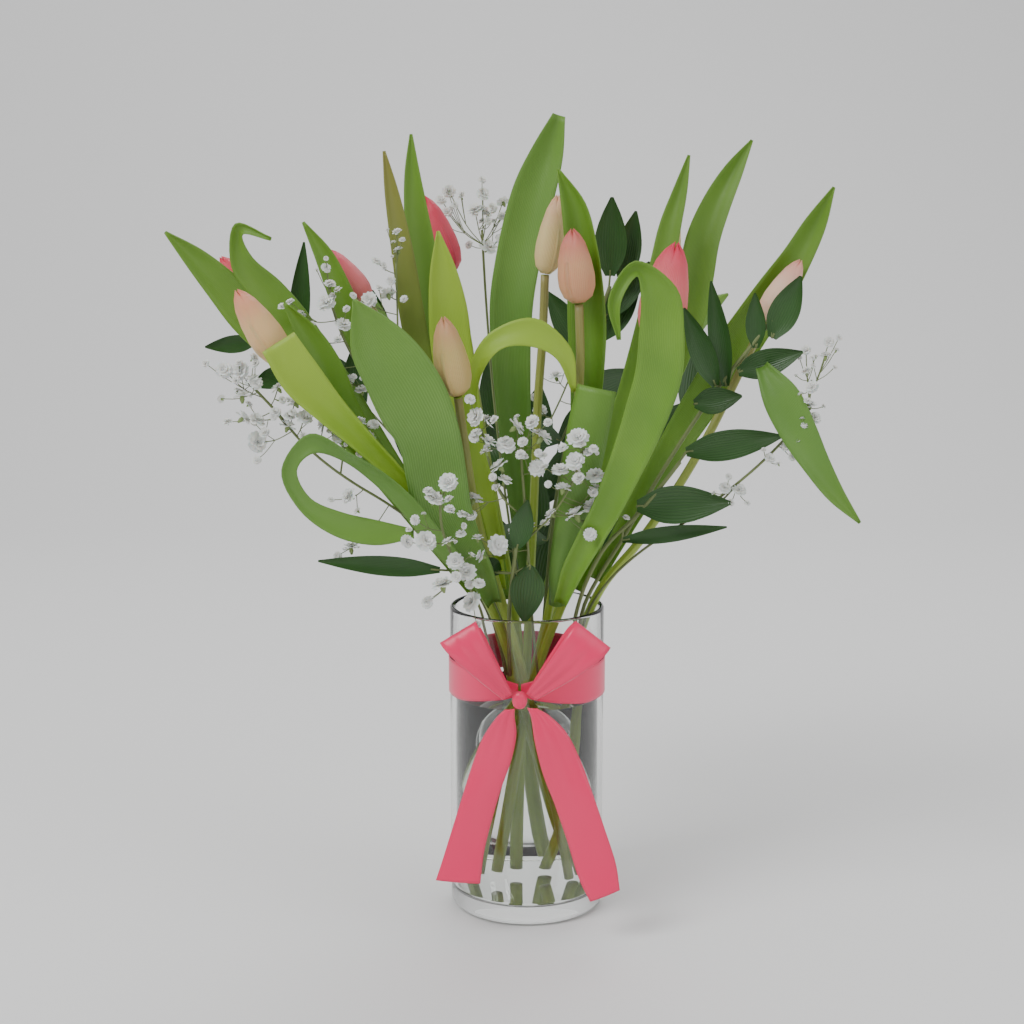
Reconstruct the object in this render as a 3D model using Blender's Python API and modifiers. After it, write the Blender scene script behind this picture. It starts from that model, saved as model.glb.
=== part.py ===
"""Tulips in a glass cylinder vase, with ruscus and gypsophila, tied round with a satin ribbon.

Every stem, leaf and bud is laid out on one front elevation, drawn in one-point
perspective from EYE. A place on it is (column, row, depth): columns run to the
right and rows downwards, and depth is the distance in mm behind the vase's
middle plane. The origin is the centre of the vase's underside.

The pieces are then settled from the front of the bouquet to its back: each one
is moved back along its lines of sight only as far as it must to rest behind
what is already in front of it, so no two pieces share any space.
"""

import math

import bmesh
import bpy
import numpy as np
from mathutils import Matrix, Vector

MM = 0.001

# Vase, mm
VASE_R, VASE_H, VASE_WALL, VASE_FLOOR = 50.0, 200.0, 3.5, 11.0
WATER_TOP = 141.0
RIBBON_T = 0.5
BAND_LOW, BAND_HIGH = 143.5, 167.0

# Elevation
EYE = np.array((-9.7, -1120.0, 450.0))
PITCH = math.radians(9.6)
REACH = 1765.0
MID = 512.0

# Settling, mm
GAP = 0.6
LEAF_T = 0.9
STEM_R = 3.1
SLOPE = 0.5

# Tulips, foot to bud base, then the bud's tip and its widest diameter.
TULIPS = {
    "05": dict(
        stem=[(566, 878, -30), (548, 780, -33), (519, 660, -36), (503, 605, -37), (480, 530, -44), (470, 480, -50), (463, 430, -56), (458, 397, -60)],
        tip=(443, 319, -62), wide=21,
    ),
    "01": dict(
        stem=[(574, 874, -20), (540, 770, -23), (510, 660, -26), (491, 606, -29), (445, 545, -36), (402, 478, -42), (352, 434, -47), (318, 402, -50), (283, 362, -52)],
        tip=(237, 292, -56), wide=21,
    ),
    "09": dict(
        stem=[(486, 874, -16), (506, 770, -18), (541, 660, -20), (562, 606, -22), (592, 530, -26), (625, 450, -30), (645, 390, -34), (656, 342, -36)],
        tip=(676, 243, -40), wide=29,
    ),
    "07": dict(
        stem=[(503, 872, -6), (518, 770, -8), (538, 660, -9), (550, 606, -10), (562, 520, -16), (574, 440, -24), (580, 375, -30), (579, 304, -34)],
        tip=(572, 231, -36), wide=22,
    ),
    "10": dict(
        stem=[(540, 868, 4), (562, 770, 2), (577, 660, 0), (587, 606, -4), (615, 574, -8), (655, 520, -12), (692, 465, -14), (726, 400, -12), (764, 322, -8)],
        tip=(800, 262, -6), wide=18,
    ),
    "06": dict(
        stem=[(519, 868, 6), (521, 770, 6), (527, 660, 6), (529, 606, 6), (534, 500, 6), (538, 400, 4), (543, 330, 0), (545, 275, -4)],
        tip=(558, 197, -6), wide=17,
    ),
    "03": dict(
        stem=[(560, 862, 8), (536, 770, 8), (513, 660, 8), (501, 606, 9), (474, 540, 16), (432, 440, 18), (396, 350, 20), (368, 303, 22)],
        tip=(330, 252, 24), wide=17,
    ),
    "02": dict(
        stem=[(570, 858, 14), (536, 770, 14), (505, 660, 14), (490, 606, 15), (448, 545, 22), (372, 470, 20), (310, 390, 16), (262, 312, 12)],
        tip=(222, 258, 10), wide=17,
    ),
    "08": dict(
        stem=[(488, 856, 20), (509, 770, 20), (538, 660, 20), (553, 606, 21), (584, 530, 28), (620, 430, 38), (645, 350, 42), (660, 290, 44)],
        tip=(674, 213, 46), wide=18,
    ),
    "04": dict(
        stem=[(538, 852, 26), (528, 770, 26), (519, 660, 26), (514, 606, 28), (500, 530, 38), (480, 420, 52), (466, 330, 57), (453, 272, 60)],
        tip=(425, 198, 64), wide=20,
    ),
}

# Tulip leaves, base to tip: places, widths across the blade in mm, cup (mm of
# rise of both edges towards the viewer), and how far each place is rolled
# about its own spine, in degrees.
LEAVES = {
    "leaf_loop_left": dict(
        at=[(478, 586, -40), (440, 545, -52), (408, 505, -58), (375, 474, -63), (345, 455, -67), (316, 443, -69), (296, 452, -70), (289, 474, -68), (299, 498, -66), (322, 516, -64), (352, 529, -61), (388, 534, -57), (414, 534, -54)],
        wide=[9, 12, 12, 12, 12, 13, 11, 9, 9, 12, 18, 15, 6], cup=1.5, roll=[0, 10, 20, 45, 60, 20, 10, 10, 10, 10, 10, 20, 20],
    ),
    "leaf_front_left": dict(
        at=[(494, 604, -37), (481, 575, -46), (462, 545, -54), (441, 505, -60), (433, 450, -66), (414, 405, -73), (390, 362, -80), (368, 330, -85), (354, 300, -88)],
        wide=[9, 16, 25, 37, 36, 43, 40, 28, 2], cup=5, roll=[0, 0, 5, 5, 5, 0, -5, -10, -10],
    ),
    "leaf_front_right": dict(
        at=[(560, 604, -37), (575, 566, -44), (602, 518, -53), (624, 470, -60), (645, 418, -68), (660, 368, -74), (661, 318, -78), (655, 280, -78), (638, 268, -77), (621, 284, -80), (613, 312, -82), (619, 340, -82)],
        wide=[8, 14, 17, 21, 26, 28, 26, 19, 9, 8, 7, 2], cup=4, roll=[0, 0, 0, 0, 0, 5, 5, 0, 0, 0, 0, 0],
    ),
    "leaf_right_hanging": dict(
        at=[(762, 366, -34), (778, 392, -44), (795, 425, -50), (815, 462, -53), (838, 498, -54), (860, 523, -54)],
        wide=[8, 22, 23, 17, 10, 1.5], cup=3, roll=[0, 0, 0, 5, 5, 5],
    ),
    "leaf_wrap": dict(
        at=[(420, 500, -56), (380, 458, -62), (345, 425, -66), (318, 396, -69), (295, 370, -71), (278, 342, -71)],
        wide=[7, 12, 16, 22, 26, 22], cup=5, roll=[0, 0, 0, 0, 0, 0],
    ),
    "leaf_panel": dict(
        at=[(556, 606, -34), (562, 560, -38), (576, 500, -42), (586, 440, -46), (597, 388, -46)],
        wide=[9, 15, 22, 26, 24], cup=-4, roll=[0, 0, 0, 0, 0],
    ),
    "leaf_arch": dict(
        at=[(500, 560, -26), (482, 480, -32), (470, 410, -38), (478, 364, -42), (500, 338, -45), (528, 332, -47), (554, 340, -48), (568, 364, -48), (574, 392, -46)],
        wide=[8, 11, 10, 9, 13, 18, 14, 9, 3], cup=2, roll=[0, 0, 10, 20, 10, 0, 0, 10, 20],
    ),
    "leaf_left_inner": dict(
        at=[(455, 560, -22), (400, 490, -26), (352, 420, -30), (328, 368, -33), (306, 332, -34), (284, 303, -35)],
        wide=[8, 13, 17, 18, 14, 1.5], cup=3, roll=[0, 0, 0, 0, 0, 0],
    ),
    "leaf_keeled": dict(
        at=[(566, 560, -6), (580, 480, -10), (586, 400, -16), (588, 330, -20), (584, 262, -22), (574, 205, -22), (558, 169, -20)],
        wide=[8, 13, 19, 24, 22, 15, 1.5], cup=7, roll=[0, 0, 0, 10, 15, 10, 0],
    ),
    "leaf_behind_bud": dict(
        at=[(500, 590, -10), (484, 500, -12), (464, 420, -14), (452, 350, -15), (447, 300, -16), (442, 262, -16), (438, 231, -15)],
        wide=[8, 15, 23, 26, 23, 14, 1.5], cup=4, roll=[0, 0, 0, 0, 0, 0, 0],
    ),
    "leaf_olive": dict(
        at=[(492, 596, -4), (462, 500, -4), (432, 410, -2), (413, 320, 2), (403, 255, 6), (393, 200, 9), (384, 151, 12)],
        wide=[8, 12, 15, 16, 14, 10, 1.5], cup=2, roll=[0, 0, 0, 0, 0, 0, 0],
    ),
    "leaf_top_left": dict(
        at=[(506, 600, 4), (482, 500, 8), (450, 400, 14), (430, 310, 20), (420, 240, 26), (413, 185, 30), (411, 134, 34)],
        wide=[8, 13, 17, 19, 18, 12, 1.5], cup=3, roll=[0, 0, 0, 0, 0, 0, 0],
    ),
    "leaf_hooked": dict(
        at=[(462, 570, -6), (400, 480, -10), (340, 390, -16), (290, 320, -20), (256, 278, -22), (236, 254, -22), (233, 236, -22), (246, 226, -23), (260, 228, -25), (271, 239, -28)],
        wide=[8, 14, 20, 23, 19, 11, 8, 8, 7, 2], cup=3, roll=[0, 0, 0, 0, 0, 0, 10, 10, 10, 0],
    ),
    "leaf_right_tall": dict(
        at=[(596, 580, 0), (640, 500, 4), (690, 420, 8), (735, 350, 8), (776, 290, 4), (800, 252, 2), (820, 215, 0), (834, 187, -2)],
        wide=[8, 14, 22, 27, 24, 18, 12, 1.5], cup=5, roll=[0, 0, 0, 0, -5, -5, 0, 0],
    ),
    "leaf_left_long": dict(
        at=[(478, 596, -2), (420, 520, -4), (350, 430, -8), (296, 364, -12), (248, 314, -16), (205, 268, -20), (165, 232, -24)],
        wide=[8, 14, 20, 24, 26, 18, 1.5], cup=4, roll=[0, 0, 0, 0, 0, 0, 0],
    ),
    "leaf_left_top": dict(
        at=[(486, 590, 10), (446, 510, 10), (396, 410, 8), (352, 322, 4), (336, 282, 2), (322, 252, 2), (303, 222, 2)],
        wide=[8, 13, 17, 17, 15, 11, 1.5], cup=3, roll=[0, 0, 0, 0, 0, 0, 0],
    ),
    "leaf_top_right_low": dict(
        at=[(570, 570, 30), (600, 480, 34), (630, 390, 38), (655, 300, 42), (668, 235, 46), (679, 195, 49), (689, 155, 52)],
        wide=[8, 12, 15, 17, 15, 10, 1.5], cup=3, roll=[0, 0, 0, 0, 0, 0, 0],
    ),
    "leaf_top_right": dict(
        at=[(576, 590, 36), (620, 480, 42), (660, 390, 50), (690, 310, 56), (700, 250, 62), (716, 205, 67), (735, 168, 71), (752, 140, 75)],
        wide=[8, 14, 19, 23, 23, 19, 12, 1.5], cup=5, roll=[0, 0, 0, 0, 0, 0, 0, 0],
    ),
    "leaf_top_centre": dict(
        at=[(530, 596, 22), (520, 500, 26), (513, 400, 31), (511, 310, 36), (522, 240, 40), (536, 185, 42), (550, 145, 43), (559, 115, 43)],
        wide=[9, 15, 23, 28, 29, 27, 19, 8], cup=6, roll=[0, 0, 0, 0, 0, 0, 0, 0],
    ),
    "leaf_back_left": dict(
        at=[(504, 592, 44), (468, 500, 60), (420, 410, 82), (380, 340, 102), (352, 290, 118), (336, 262, 128)],
        wide=[8, 16, 25, 27, 20, 1.5], cup=-5, roll=[0, 0, 0, 0, 0, 0],
    ),
    "leaf_back_right": dict(
        at=[(548, 592, 46), (580, 500, 66), (622, 420, 92), (664, 352, 116), (700, 312, 132), (728, 294, 140)],
        wide=[8, 17, 26, 28, 20, 1.5], cup=-5, roll=[0, 0, 0, 0, 0, 0],
    ),
}

# Ruscus sprigs: the stem from its foot, then each leaf as (place on the stem
# from 0 to 1, base, tip, widest mm, cup mm).
RUSCUS = {
    "ruscus_front": dict(
        stem=[(510, 676, -30), (509, 616, -34), (512, 580, -42), (516, 548, -48)],
        leaves=[
            (0.80, (530, 566, -45), (524, 622, -37), 21, 3),
            (0.98, (517, 548, -49), (528, 500, -52), 14, 2),
            (0.80, (500, 572, -47), (478, 560, -50), 12, 2),
            (0.80, (440, 570, -46), (318, 561, -54), 12, 2),
        ],
    ),
    "ruscus_right_low": dict(
        stem=[(566, 676, -24), (578, 606, -27), (603, 550, -35), (640, 512, -39), (680, 462, -43)],
        leaves=[
            (0.66, (622, 540, -36), (727, 527, -44), 10, 2),
            (0.76, (637, 506, -41), (731, 503, -48), 23, 4),
            (0.98, (686, 452, -44), (783, 436, -50), 18, 4),
        ],
    ),
    "ruscus_right": dict(
        stem=[(574, 676, -14), (584, 606, -16), (622, 540, -18), (668, 462, -22), (712, 396, -26), (752, 345, -28), (772, 320, -30)],
        leaves=[
            (0.99, (772, 338, -31), (801, 276, -36), 18, 3),
            (0.97, (756, 348, -29), (755, 293, -33), 12, 2),
            (0.92, (738, 372, -29), (803, 352, -38), 17, 3),
            (0.86, (726, 386, -28), (711, 281, -32), 13, 3),
            (0.82, (716, 386, -30), (684, 308, -36), 15, 3),
            (0.76, (694, 404, -30), (742, 396, -38), 16, 3),
        ],
    ),
    "ruscus_left": dict(
        stem=[(506, 676, 8), (488, 612, 8), (430, 520, 14), (360, 430, 16), (300, 362, 14), (262, 335, 10)],
        leaves=[
            (0.93, (294, 340, 12), (243, 250, 10), 13, 2),
            (0.99, (256, 342, 8), (205, 347, 2), 11, 2),
            (0.86, (296, 356, 18), (304, 242, 20), 13, 2),
            (0.84, (288, 372, 10), (252, 386, 4), 13, 2),
            (0.60, (356, 420, 24), (352, 350, 40), 17, 3),
        ],
    ),
    "ruscus_back": dict(
        stem=[(541, 676, 22), (545, 606, 30), (556, 500, 52), (576, 400, 62), (598, 320, 66), (610, 286, 66)],
        leaves=[
            (0.99, (610, 276, 66), (612, 197, 64), 21, 3),
            (0.98, (622, 282, 70), (636, 211, 76), 17, 3),
            (0.92, (604, 318, 70), (650, 262, 84), 17, 3),
            (0.85, (584, 352, 66), (548, 292, 84), 18, 3),
            (0.76, (578, 396, 72), (640, 372, 108), 20, 3),
            (0.66, (560, 440, 64), (500, 424, 104), 20, 3),
            (0.50, (552, 520, 58), (588, 498, 104), 18, 3),
            (0.44, (546, 540, 56), (488, 532, 100), 18, 3),
        ],
    ),
}

# Gypsophila sprays: stems from the foot (each later one branches off the
# first), then the double florets as (column, row, depth, radius on the
# elevation).
SPRAYS = {
    "gypsophila_neck": dict(
        stems=[[(496, 676, -30), (488, 640, -31), (478, 603, -38), (454, 560, -60), (440, 520, -70), (440, 492, -74)]],
        florets=[
            (448, 482, -76, 9), (434, 499, -78, 9), (415, 520, -74, 5), (426, 541, -76, 10), (455, 561, -72, 8),
            (461, 534, -74, 5), (467, 572, -66, 9), (442, 585, -72, 10), (472, 602, -60, 10),
        ],
    ),
    "gypsophila_centre": dict(
        stems=[
            [(538, 676, -30), (533, 630, -32), (530, 580, -42), (526, 520, -50), (522, 468, -56), (520, 440, -58)],
            [(528, 540, -46), (556, 510, -54), (578, 470, -60), (584, 448, -62)],
            [(526, 520, -50), (504, 500, -56), (488, 460, -60), (482, 430, -62)],
        ],
        florets=[
            (476, 417, -64, 9), (488, 441, -64, 8), (506, 445, -62, 9), (516, 427, -60, 9), (542, 437, -60, 10),
            (532, 422, -62, 7), (578, 438, -63, 10), (588, 452, -64, 5), (499, 466, -63, 9), (537, 468, -60, 8),
            (560, 470, -62, 8), (575, 461, -66, 9), (595, 476, -64, 9), (563, 488, -62, 8), (505, 480, -64, 7),
            (474, 499, -66, 9), (576, 514, -62, 11), (592, 506, -66, 9), (614, 503, -66, 9), (527, 523, -58, 8),
            (498, 545, -58, 10), (602, 521, -62, 5),
        ],
    ),
    "gypsophila_right": dict(
        stems=[
            [(578, 676, -8), (588, 612, -10), (630, 560, -22), (700, 512, -38), (762, 462, -46), (806, 412, -50), (812, 380, -50)],
            [(700, 512, -38), (722, 500, -42), (732, 490, -44)],
        ],
        florets=[
            (829, 342, -50, 5), (826, 356, -50, 6), (806, 350, -50, 5), (806, 371, -50, 5), (812, 387, -52, 6.5),
            (810, 405, -54, 6), (815, 418, -52, 6), (725, 488, -46, 6), (739, 490, -44, 7), (770, 458, -50, 5), (787, 446, -52, 6),
        ],
    ),
    "gypsophila_left": dict(
        stems=[
            [(516, 676, -10), (500, 616, -12), (460, 560, -20), (400, 512, -36), (340, 474, -48), (300, 440, -54), (270, 404, -58), (252, 386, -60)],
            [(340, 474, -48), (346, 440, -54), (352, 418, -56)],
        ],
        florets=[
            (224, 370, -60, 8), (240, 371, -60, 9), (253, 380, -62, 8), (242, 396, -62, 9), (278, 388, -58, 7),
            (243, 418, -60, 8), (257, 420, -62, 8), (257, 442, -60, 10), (295, 402, -58, 8), (304, 418, -60, 8),
            (288, 426, -60, 8), (324, 424, -56, 8), (338, 437, -58, 6), (366, 438, -58, 9), (358, 422, -58, 8),
            (349, 496, -56, 8), (351, 548, -58, 8),
        ],
    ),
    "gypsophila_inner": dict(
        stems=[
            [(518, 676, 0), (498, 612, -1), (452, 520, -4), (400, 440, -8), (360, 370, -12), (340, 330, -14), (330, 300, -14)],
            [(400, 440, -8), (398, 340, -10), (396, 262, -8)],
        ],
        florets=[
            (298, 316, -18, 8), (312, 338, -18, 7), (326, 303, -18, 9), (330, 284, -16, 6), (326, 268, -16, 5),
            (343, 325, -16, 8), (326, 363, -18, 8), (348, 383, -16, 9), (362, 390, -16, 7), (369, 300, -14, 8),
            (388, 294, -12, 8), (376, 261, -10, 5), (397, 232, -8, 5), (398, 250, -8, 5),
        ],
    ),
    "gypsophila_back": dict(
        stems=[
            [(519, 588, 40), (506, 500, 58), (494, 400, 70), (486, 300, 78), (482, 230, 82)],
            [(506, 500, 58), (540, 440, 96), (560, 400, 124), (572, 372, 136)],
            [(506, 500, 58), (474, 446, 100), (462, 420, 124), (452, 400, 136)],
        ],
        florets=[
            (449, 191, 84, 7), (441, 200, 84, 6), (483, 194, 82, 7), (475, 210, 80, 9), (487, 212, 84, 6),
            (503, 202, 86, 7), (502, 216, 84, 5), (447, 212, 82, 6), (488, 247, 82, 9), (500, 238, 84, 5),
            (572, 352, 140, 9), (590, 376, 138, 8), (556, 376, 132, 8), (580, 402, 136, 9), (540, 410, 122, 8),
            (448, 382, 140, 9), (434, 404, 138, 8), (466, 398, 132, 8), (458, 432, 134, 9), (484, 420, 120, 8),
        ],
    ),
}

# What lies in front of what.
ORDER = [
    "gypsophila_neck", "leaf_loop_left", "leaf_front_left", "leaf_front_right", "ruscus_front",
    "gypsophila_centre", "tulip_05", "leaf_right_hanging", "ruscus_right_low", "ruscus_right",
    "gypsophila_right", "leaf_wrap", "tulip_01", "gypsophila_left", "leaf_panel", "leaf_arch",
    "leaf_left_inner", "gypsophila_inner", "tulip_09", "tulip_07", "leaf_keeled", "leaf_behind_bud",
    "tulip_06", "leaf_olive", "leaf_hooked", "tulip_10", "leaf_left_long", "leaf_top_left",
    "leaf_right_tall", "leaf_left_top", "ruscus_left", "tulip_03", "tulip_02", "leaf_top_right_low",
    "tulip_08", "leaf_top_centre", "leaf_top_right", "tulip_04", "ruscus_back", "gypsophila_back",
    "leaf_back_left", "leaf_back_right",
]


# ---------------------------------------------------------------- elevation
def sight(column, row):
    a, b = (column - MID) / REACH, (MID - row) / REACH
    return np.array((a, math.cos(PITCH) + b * math.sin(PITCH), b * math.cos(PITCH) - math.sin(PITCH)))


def at(place):
    ray = sight(place[0], place[1])
    return EYE + ray * ((place[2] - EYE[1]) / ray[1])


def on_elevation(points):
    d = points - EYE
    reach = d[:, 1] * math.cos(PITCH) - d[:, 2] * math.sin(PITCH)
    rise = d[:, 1] * math.sin(PITCH) + d[:, 2] * math.cos(PITCH)
    return MID + REACH * d[:, 0] / reach, MID - REACH * rise / reach


def set_back(points, by):
    """Each point moved along its line of sight until it is `by` mm further back."""
    by = np.broadcast_to(np.asarray(by, float), points.shape[:-1])
    d = points - EYE
    return EYE + d * (1 + by / d[..., 1])[..., None]


# ------------------------------------------------------------------- curves
def unit(v):
    return v / np.maximum(np.linalg.norm(v, axis=-1, keepdims=True), 1e-12)


def spline(values, count, keys=None):
    """Catmull-Rom through the rows of `values`, read at `count` even steps of length. `keys` ride along."""
    values = np.asarray(values, float)
    n = len(values)
    ends = np.vstack([2 * values[0] - values[1], values, 2 * values[-1] - values[-2]])
    t = np.linspace(0, n - 1, 24 * (n - 1) + 1)
    i = np.minimum(t.astype(int), n - 2)
    f = (t - i)[:, None]
    p0, p1, p2, p3 = ends[i], ends[i + 1], ends[i + 2], ends[i + 3]
    curve = 0.5 * (2 * p1 + (p2 - p0) * f + (2 * p0 - 5 * p1 + 4 * p2 - p3) * f**2 + (3 * p1 - p0 - 3 * p2 + p3) * f**3)
    run = np.concatenate([[0], np.cumsum(np.linalg.norm(np.diff(curve[:, :3], axis=0), axis=1))])
    want = np.linspace(0, run[-1], count)
    out = np.stack([np.interp(want, run, curve[:, k]) for k in range(curve.shape[1])], 1)
    if keys is None:
        return out
    where = np.interp(want, run, t)
    return out, [np.interp(where, np.arange(n), key) for key in keys]


def stations_for(points, step):
    return max(4, int(round(np.linalg.norm(np.diff(points, axis=0), axis=1).sum() / step)) + 1)


# ------------------------------------------------------------------- sheets
def blade(spine, wide, cup, roll, across):
    """Rows of points across a leaf, and which way each row faces."""
    tangent = unit(np.gradient(spine, axis=0))
    side = unit(np.cross(tangent, spine - EYE))
    out = np.cross(side, tangent)
    a = np.radians(roll)[:, None]
    side, out = side * np.cos(a) + out * np.sin(a), out * np.cos(a) - side * np.sin(a)
    toward = np.sign((out * (EYE - spine)).sum(1))
    out = out * np.where(toward == 0, 1, toward)[:, None]
    q = np.linspace(-1, 1, across)
    lift = np.minimum(cup, 0.42 * wide) if cup > 0 else np.maximum(cup, -0.42 * wide)
    grid = spine[:, None] + side[:, None] * (wide[:, None] / 2 * q)[..., None]
    return grid + out[:, None] * (lift[:, None] * (np.abs(q) ** 1.6 - 0.5))[..., None]


def leaf_sheet(spec, step=24.0, across=3):
    points = np.array([at(p) for p in spec["at"]])
    spine, (wide, roll) = spline(points, stations_for(points, step), [spec["wide"], spec["roll"]])
    return blade(spine, wide, spec["cup"], roll, across)


def small_leaf_sheet(base, tip, wide, cup, count=5, across=3):
    a, b = at(base), at(tip)
    t = np.linspace(0, 1, count)[:, None]
    spine = a + (b - a) * t
    width = wide * np.array([0.30, 0.92, 1.0, 0.66, 0.09]) if count == 5 else wide * np.sin(np.pi * np.clip(t[:, 0], 0.04, 0.97)) ** 0.7
    return blade(spine, width, cup, np.zeros(count), across)


# ----------------------------------------------------------------- settling
behind = np.full((1024, 1024), -1e9)


def sheet_cloud(grid, half=LEAF_T / 2):
    rows, columns = grid.shape[:2]
    k = 9
    f = (np.arange(k) + 0.5) / k
    points, station = [], []
    for i in range(rows - 1):
        for j in range(columns - 1):
            a, b, c, d = grid[i, j], grid[i, j + 1], grid[i + 1, j], grid[i + 1, j + 1]
            u, v = np.meshgrid(np.linspace(0, 1, k + 1), np.linspace(0, 1, k + 1), indexing="ij")
            u, v = u[..., None], v[..., None]
            points.append((a * (1 - u) * (1 - v) + b * (1 - u) * v + c * u * (1 - v) + d * u * v).reshape(-1, 3))
            station.append((i + u[..., 0]).repeat(1).reshape(-1))
    points, station = np.concatenate(points), np.concatenate(station)
    return points, np.full(len(points), half), station


def tube_cloud(path, radii):
    radii = np.broadcast_to(np.asarray(radii, float), len(path))
    points, half, station = [], [], []
    for i in range(len(path) - 1):
        k = max(2, int(np.linalg.norm(path[i + 1] - path[i])) + 1)
        for f in np.linspace(0, 1, k):
            centre, r = path[i] * (1 - f) + path[i + 1] * f, radii[i] * (1 - f) + radii[i + 1] * f
            across = unit(np.cross(path[i + 1] - path[i], centre - EYE))
            for q in (-1, -0.75, -0.5, -0.25, 0, 0.25, 0.5, 0.75, 1):
                points.append(centre + across * r * q)
                half.append(r * math.sqrt(max(0.06, 1 - q * q)))
                station.append(i + f)
    return np.array(points), np.array(half), np.array(station)


def needs(cloud, count):
    points, half, station = cloud
    column, row = on_elevation(points)
    column = np.clip(column.round().astype(int), 0, 1023)
    row = np.clip(row.round().astype(int), 0, 1023)
    need = behind[row, column] + GAP + half - points[:, 1]
    out = np.zeros(count)
    for side in (np.floor(station).astype(int), np.ceil(station).astype(int)):
        np.maximum.at(out, np.clip(side, 0, count - 1), need)
    return out


def eased(need, path, pinned=False):
    """The least push at each station that clears every need without a sudden step."""
    run = np.concatenate([[0], np.cumsum(np.linalg.norm(np.diff(path, axis=0), axis=1))])
    push = (need[None, :] - SLOPE * np.abs(run[:, None] - run[None, :])).max(1)
    for _ in range(3):
        spread = push.copy()
        spread[1:-1] = (push[:-2] + 2 * push[1:-1] + push[2:]) / 4
        push = np.maximum(spread, need)
    if pinned:
        push[0] = 0
    return np.maximum(push, 0)


def remember(clouds):
    layer = np.full((1024, 1024), -1e9)
    for points, half, _ in clouds:
        column, row = on_elevation(points)
        column = np.clip(column.round().astype(int), 4, 1019)
        row = np.clip(row.round().astype(int), 4, 1019)
        np.maximum.at(layer, (row, column), points[:, 1] + half)
    wide = layer.copy()
    for dc in (-2, -1, 0, 1, 2):
        for dr in (-2, -1, 0, 1, 2):
            if dc * dc + dr * dr <= 5:
                wide = np.maximum(wide, np.roll(np.roll(layer, dr, 0), dc, 1))
    np.maximum(behind, wide, out=behind)


def settle_sheet(grid):
    spine = grid[:, grid.shape[1] // 2]
    for _ in range(2):
        push = eased(needs(sheet_cloud(grid), len(grid)), spine)
        grid = set_back(grid, push[:, None])
    return grid


def settle_tube(path, radii, pinned=False, end=None):
    """`end` is a cloud that rides on the last station."""
    for _ in range(2):
        need = needs(tube_cloud(path, radii), len(path))
        if end is not None:
            carried = needs((end[0], end[1], np.zeros(len(end[0]))), 1)[0]
            need[-1] = max(need[-1], carried)
        push = eased(need, path, pinned)
        path = set_back(path, push)
        if end is not None:
            end = (set_back(end[0], push[-1]), end[1])
    return path


# --------------------------------------------------------- Blender helpers
for old in list(bpy.data.objects):
    bpy.data.objects.remove(old, do_unlink=True)

bouquet = bpy.data.collections.new("tulips_in_a_vase")
cutters = bpy.data.collections.new("cutters")
bpy.context.scene.collection.children.link(bouquet)
bpy.context.scene.collection.children.link(cutters)
cutters.hide_render = True


def material(name, colour, roughness=0.5, metallic=0.0, transmission=0.0):
    made = bpy.data.materials.new(name)
    made.use_nodes = True
    shader = made.node_tree.nodes["Principled BSDF"]
    shader.inputs["Base Color"].default_value = (*colour, 1)
    shader.inputs["Roughness"].default_value = roughness
    shader.inputs["Metallic"].default_value = metallic
    shader.inputs["Transmission Weight"].default_value = transmission
    made.diffuse_color = (*colour, 1)
    return made


GLASS = material("glass", (0.93, 0.97, 0.96), 0.03, 0, 0.9)
WATER = material("water", (0.80, 0.88, 0.84), 0.03, 0, 0.8)
SATIN = material("satin", (0.92, 0.20, 0.30), 0.35)
LEAF = material("tulip_leaf", (0.30, 0.45, 0.12), 0.5)
STEM = material("tulip_stem", (0.38, 0.48, 0.16), 0.45)
DARK = material("ruscus", (0.06, 0.14, 0.07), 0.45)
WHITE = material("gypsophila", (0.86, 0.86, 0.80), 0.7)
PETALS = {
    "01": material("petal_peach", (0.90, 0.58, 0.42), 0.5),
    "02": material("petal_coral", (0.88, 0.36, 0.34), 0.5),
    "03": material("petal_pink", (0.86, 0.40, 0.42), 0.5),
    "04": material("petal_rose", (0.82, 0.30, 0.34), 0.5),
    "05": material("petal_cream", (0.84, 0.68, 0.44), 0.5),
    "06": material("petal_ivory", (0.90, 0.80, 0.60), 0.5),
    "07": material("petal_apricot", (0.90, 0.52, 0.40), 0.5),
    "08": material("petal_yellow", (0.90, 0.78, 0.50), 0.5),
    "09": material("petal_blush", (0.88, 0.44, 0.42), 0.5),
    "10": material("petal_pale", (0.90, 0.74, 0.60), 0.5),
}


def file(obj, paint, collection=None):
    for owner in list(obj.users_collection):
        owner.objects.unlink(obj)
    (collection or bouquet).objects.link(obj)
    if collection is cutters:
        obj.hide_render = True
        obj.display_type = "WIRE"
    obj.data.materials.clear()
    if paint:
        obj.data.materials.append(paint)
    return obj


def tube(name, path, radius, sides=8, paint=STEM, radii=None, collection=None):
    data = bpy.data.curves.new(name, "CURVE")
    data.dimensions = "3D"
    data.bevel_depth = radius * MM
    data.bevel_resolution = {4: 0, 6: 1, 8: 2}[sides]
    data.use_fill_caps = True
    line = data.splines.new("POLY")
    line.points.add(len(path) - 1)
    for k, place in enumerate(path):
        line.points[k].co = (*(np.asarray(place) * MM), 1)
        line.points[k].radius = 1.0 if radii is None else float(radii[k]) / radius
    return file(bpy.data.objects.new(name, data), paint, collection)


def meshed(obj):
    """The evaluated object as a plain welded mesh in world space; the source is removed."""
    bpy.context.view_layer.update()
    graph = bpy.context.evaluated_depsgraph_get()
    evaluated = obj.evaluated_get(graph)
    data = bpy.data.meshes.new_from_object(evaluated, depsgraph=graph)
    data.transform(evaluated.matrix_world)
    bm = bmesh.new()
    bm.from_mesh(data)
    bmesh.ops.remove_doubles(bm, verts=bm.verts, dist=1e-6)
    bmesh.ops.recalc_face_normals(bm, faces=bm.faces)
    bm.to_mesh(data)
    bm.free()
    bpy.data.objects.remove(obj, do_unlink=True)
    return data


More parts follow.
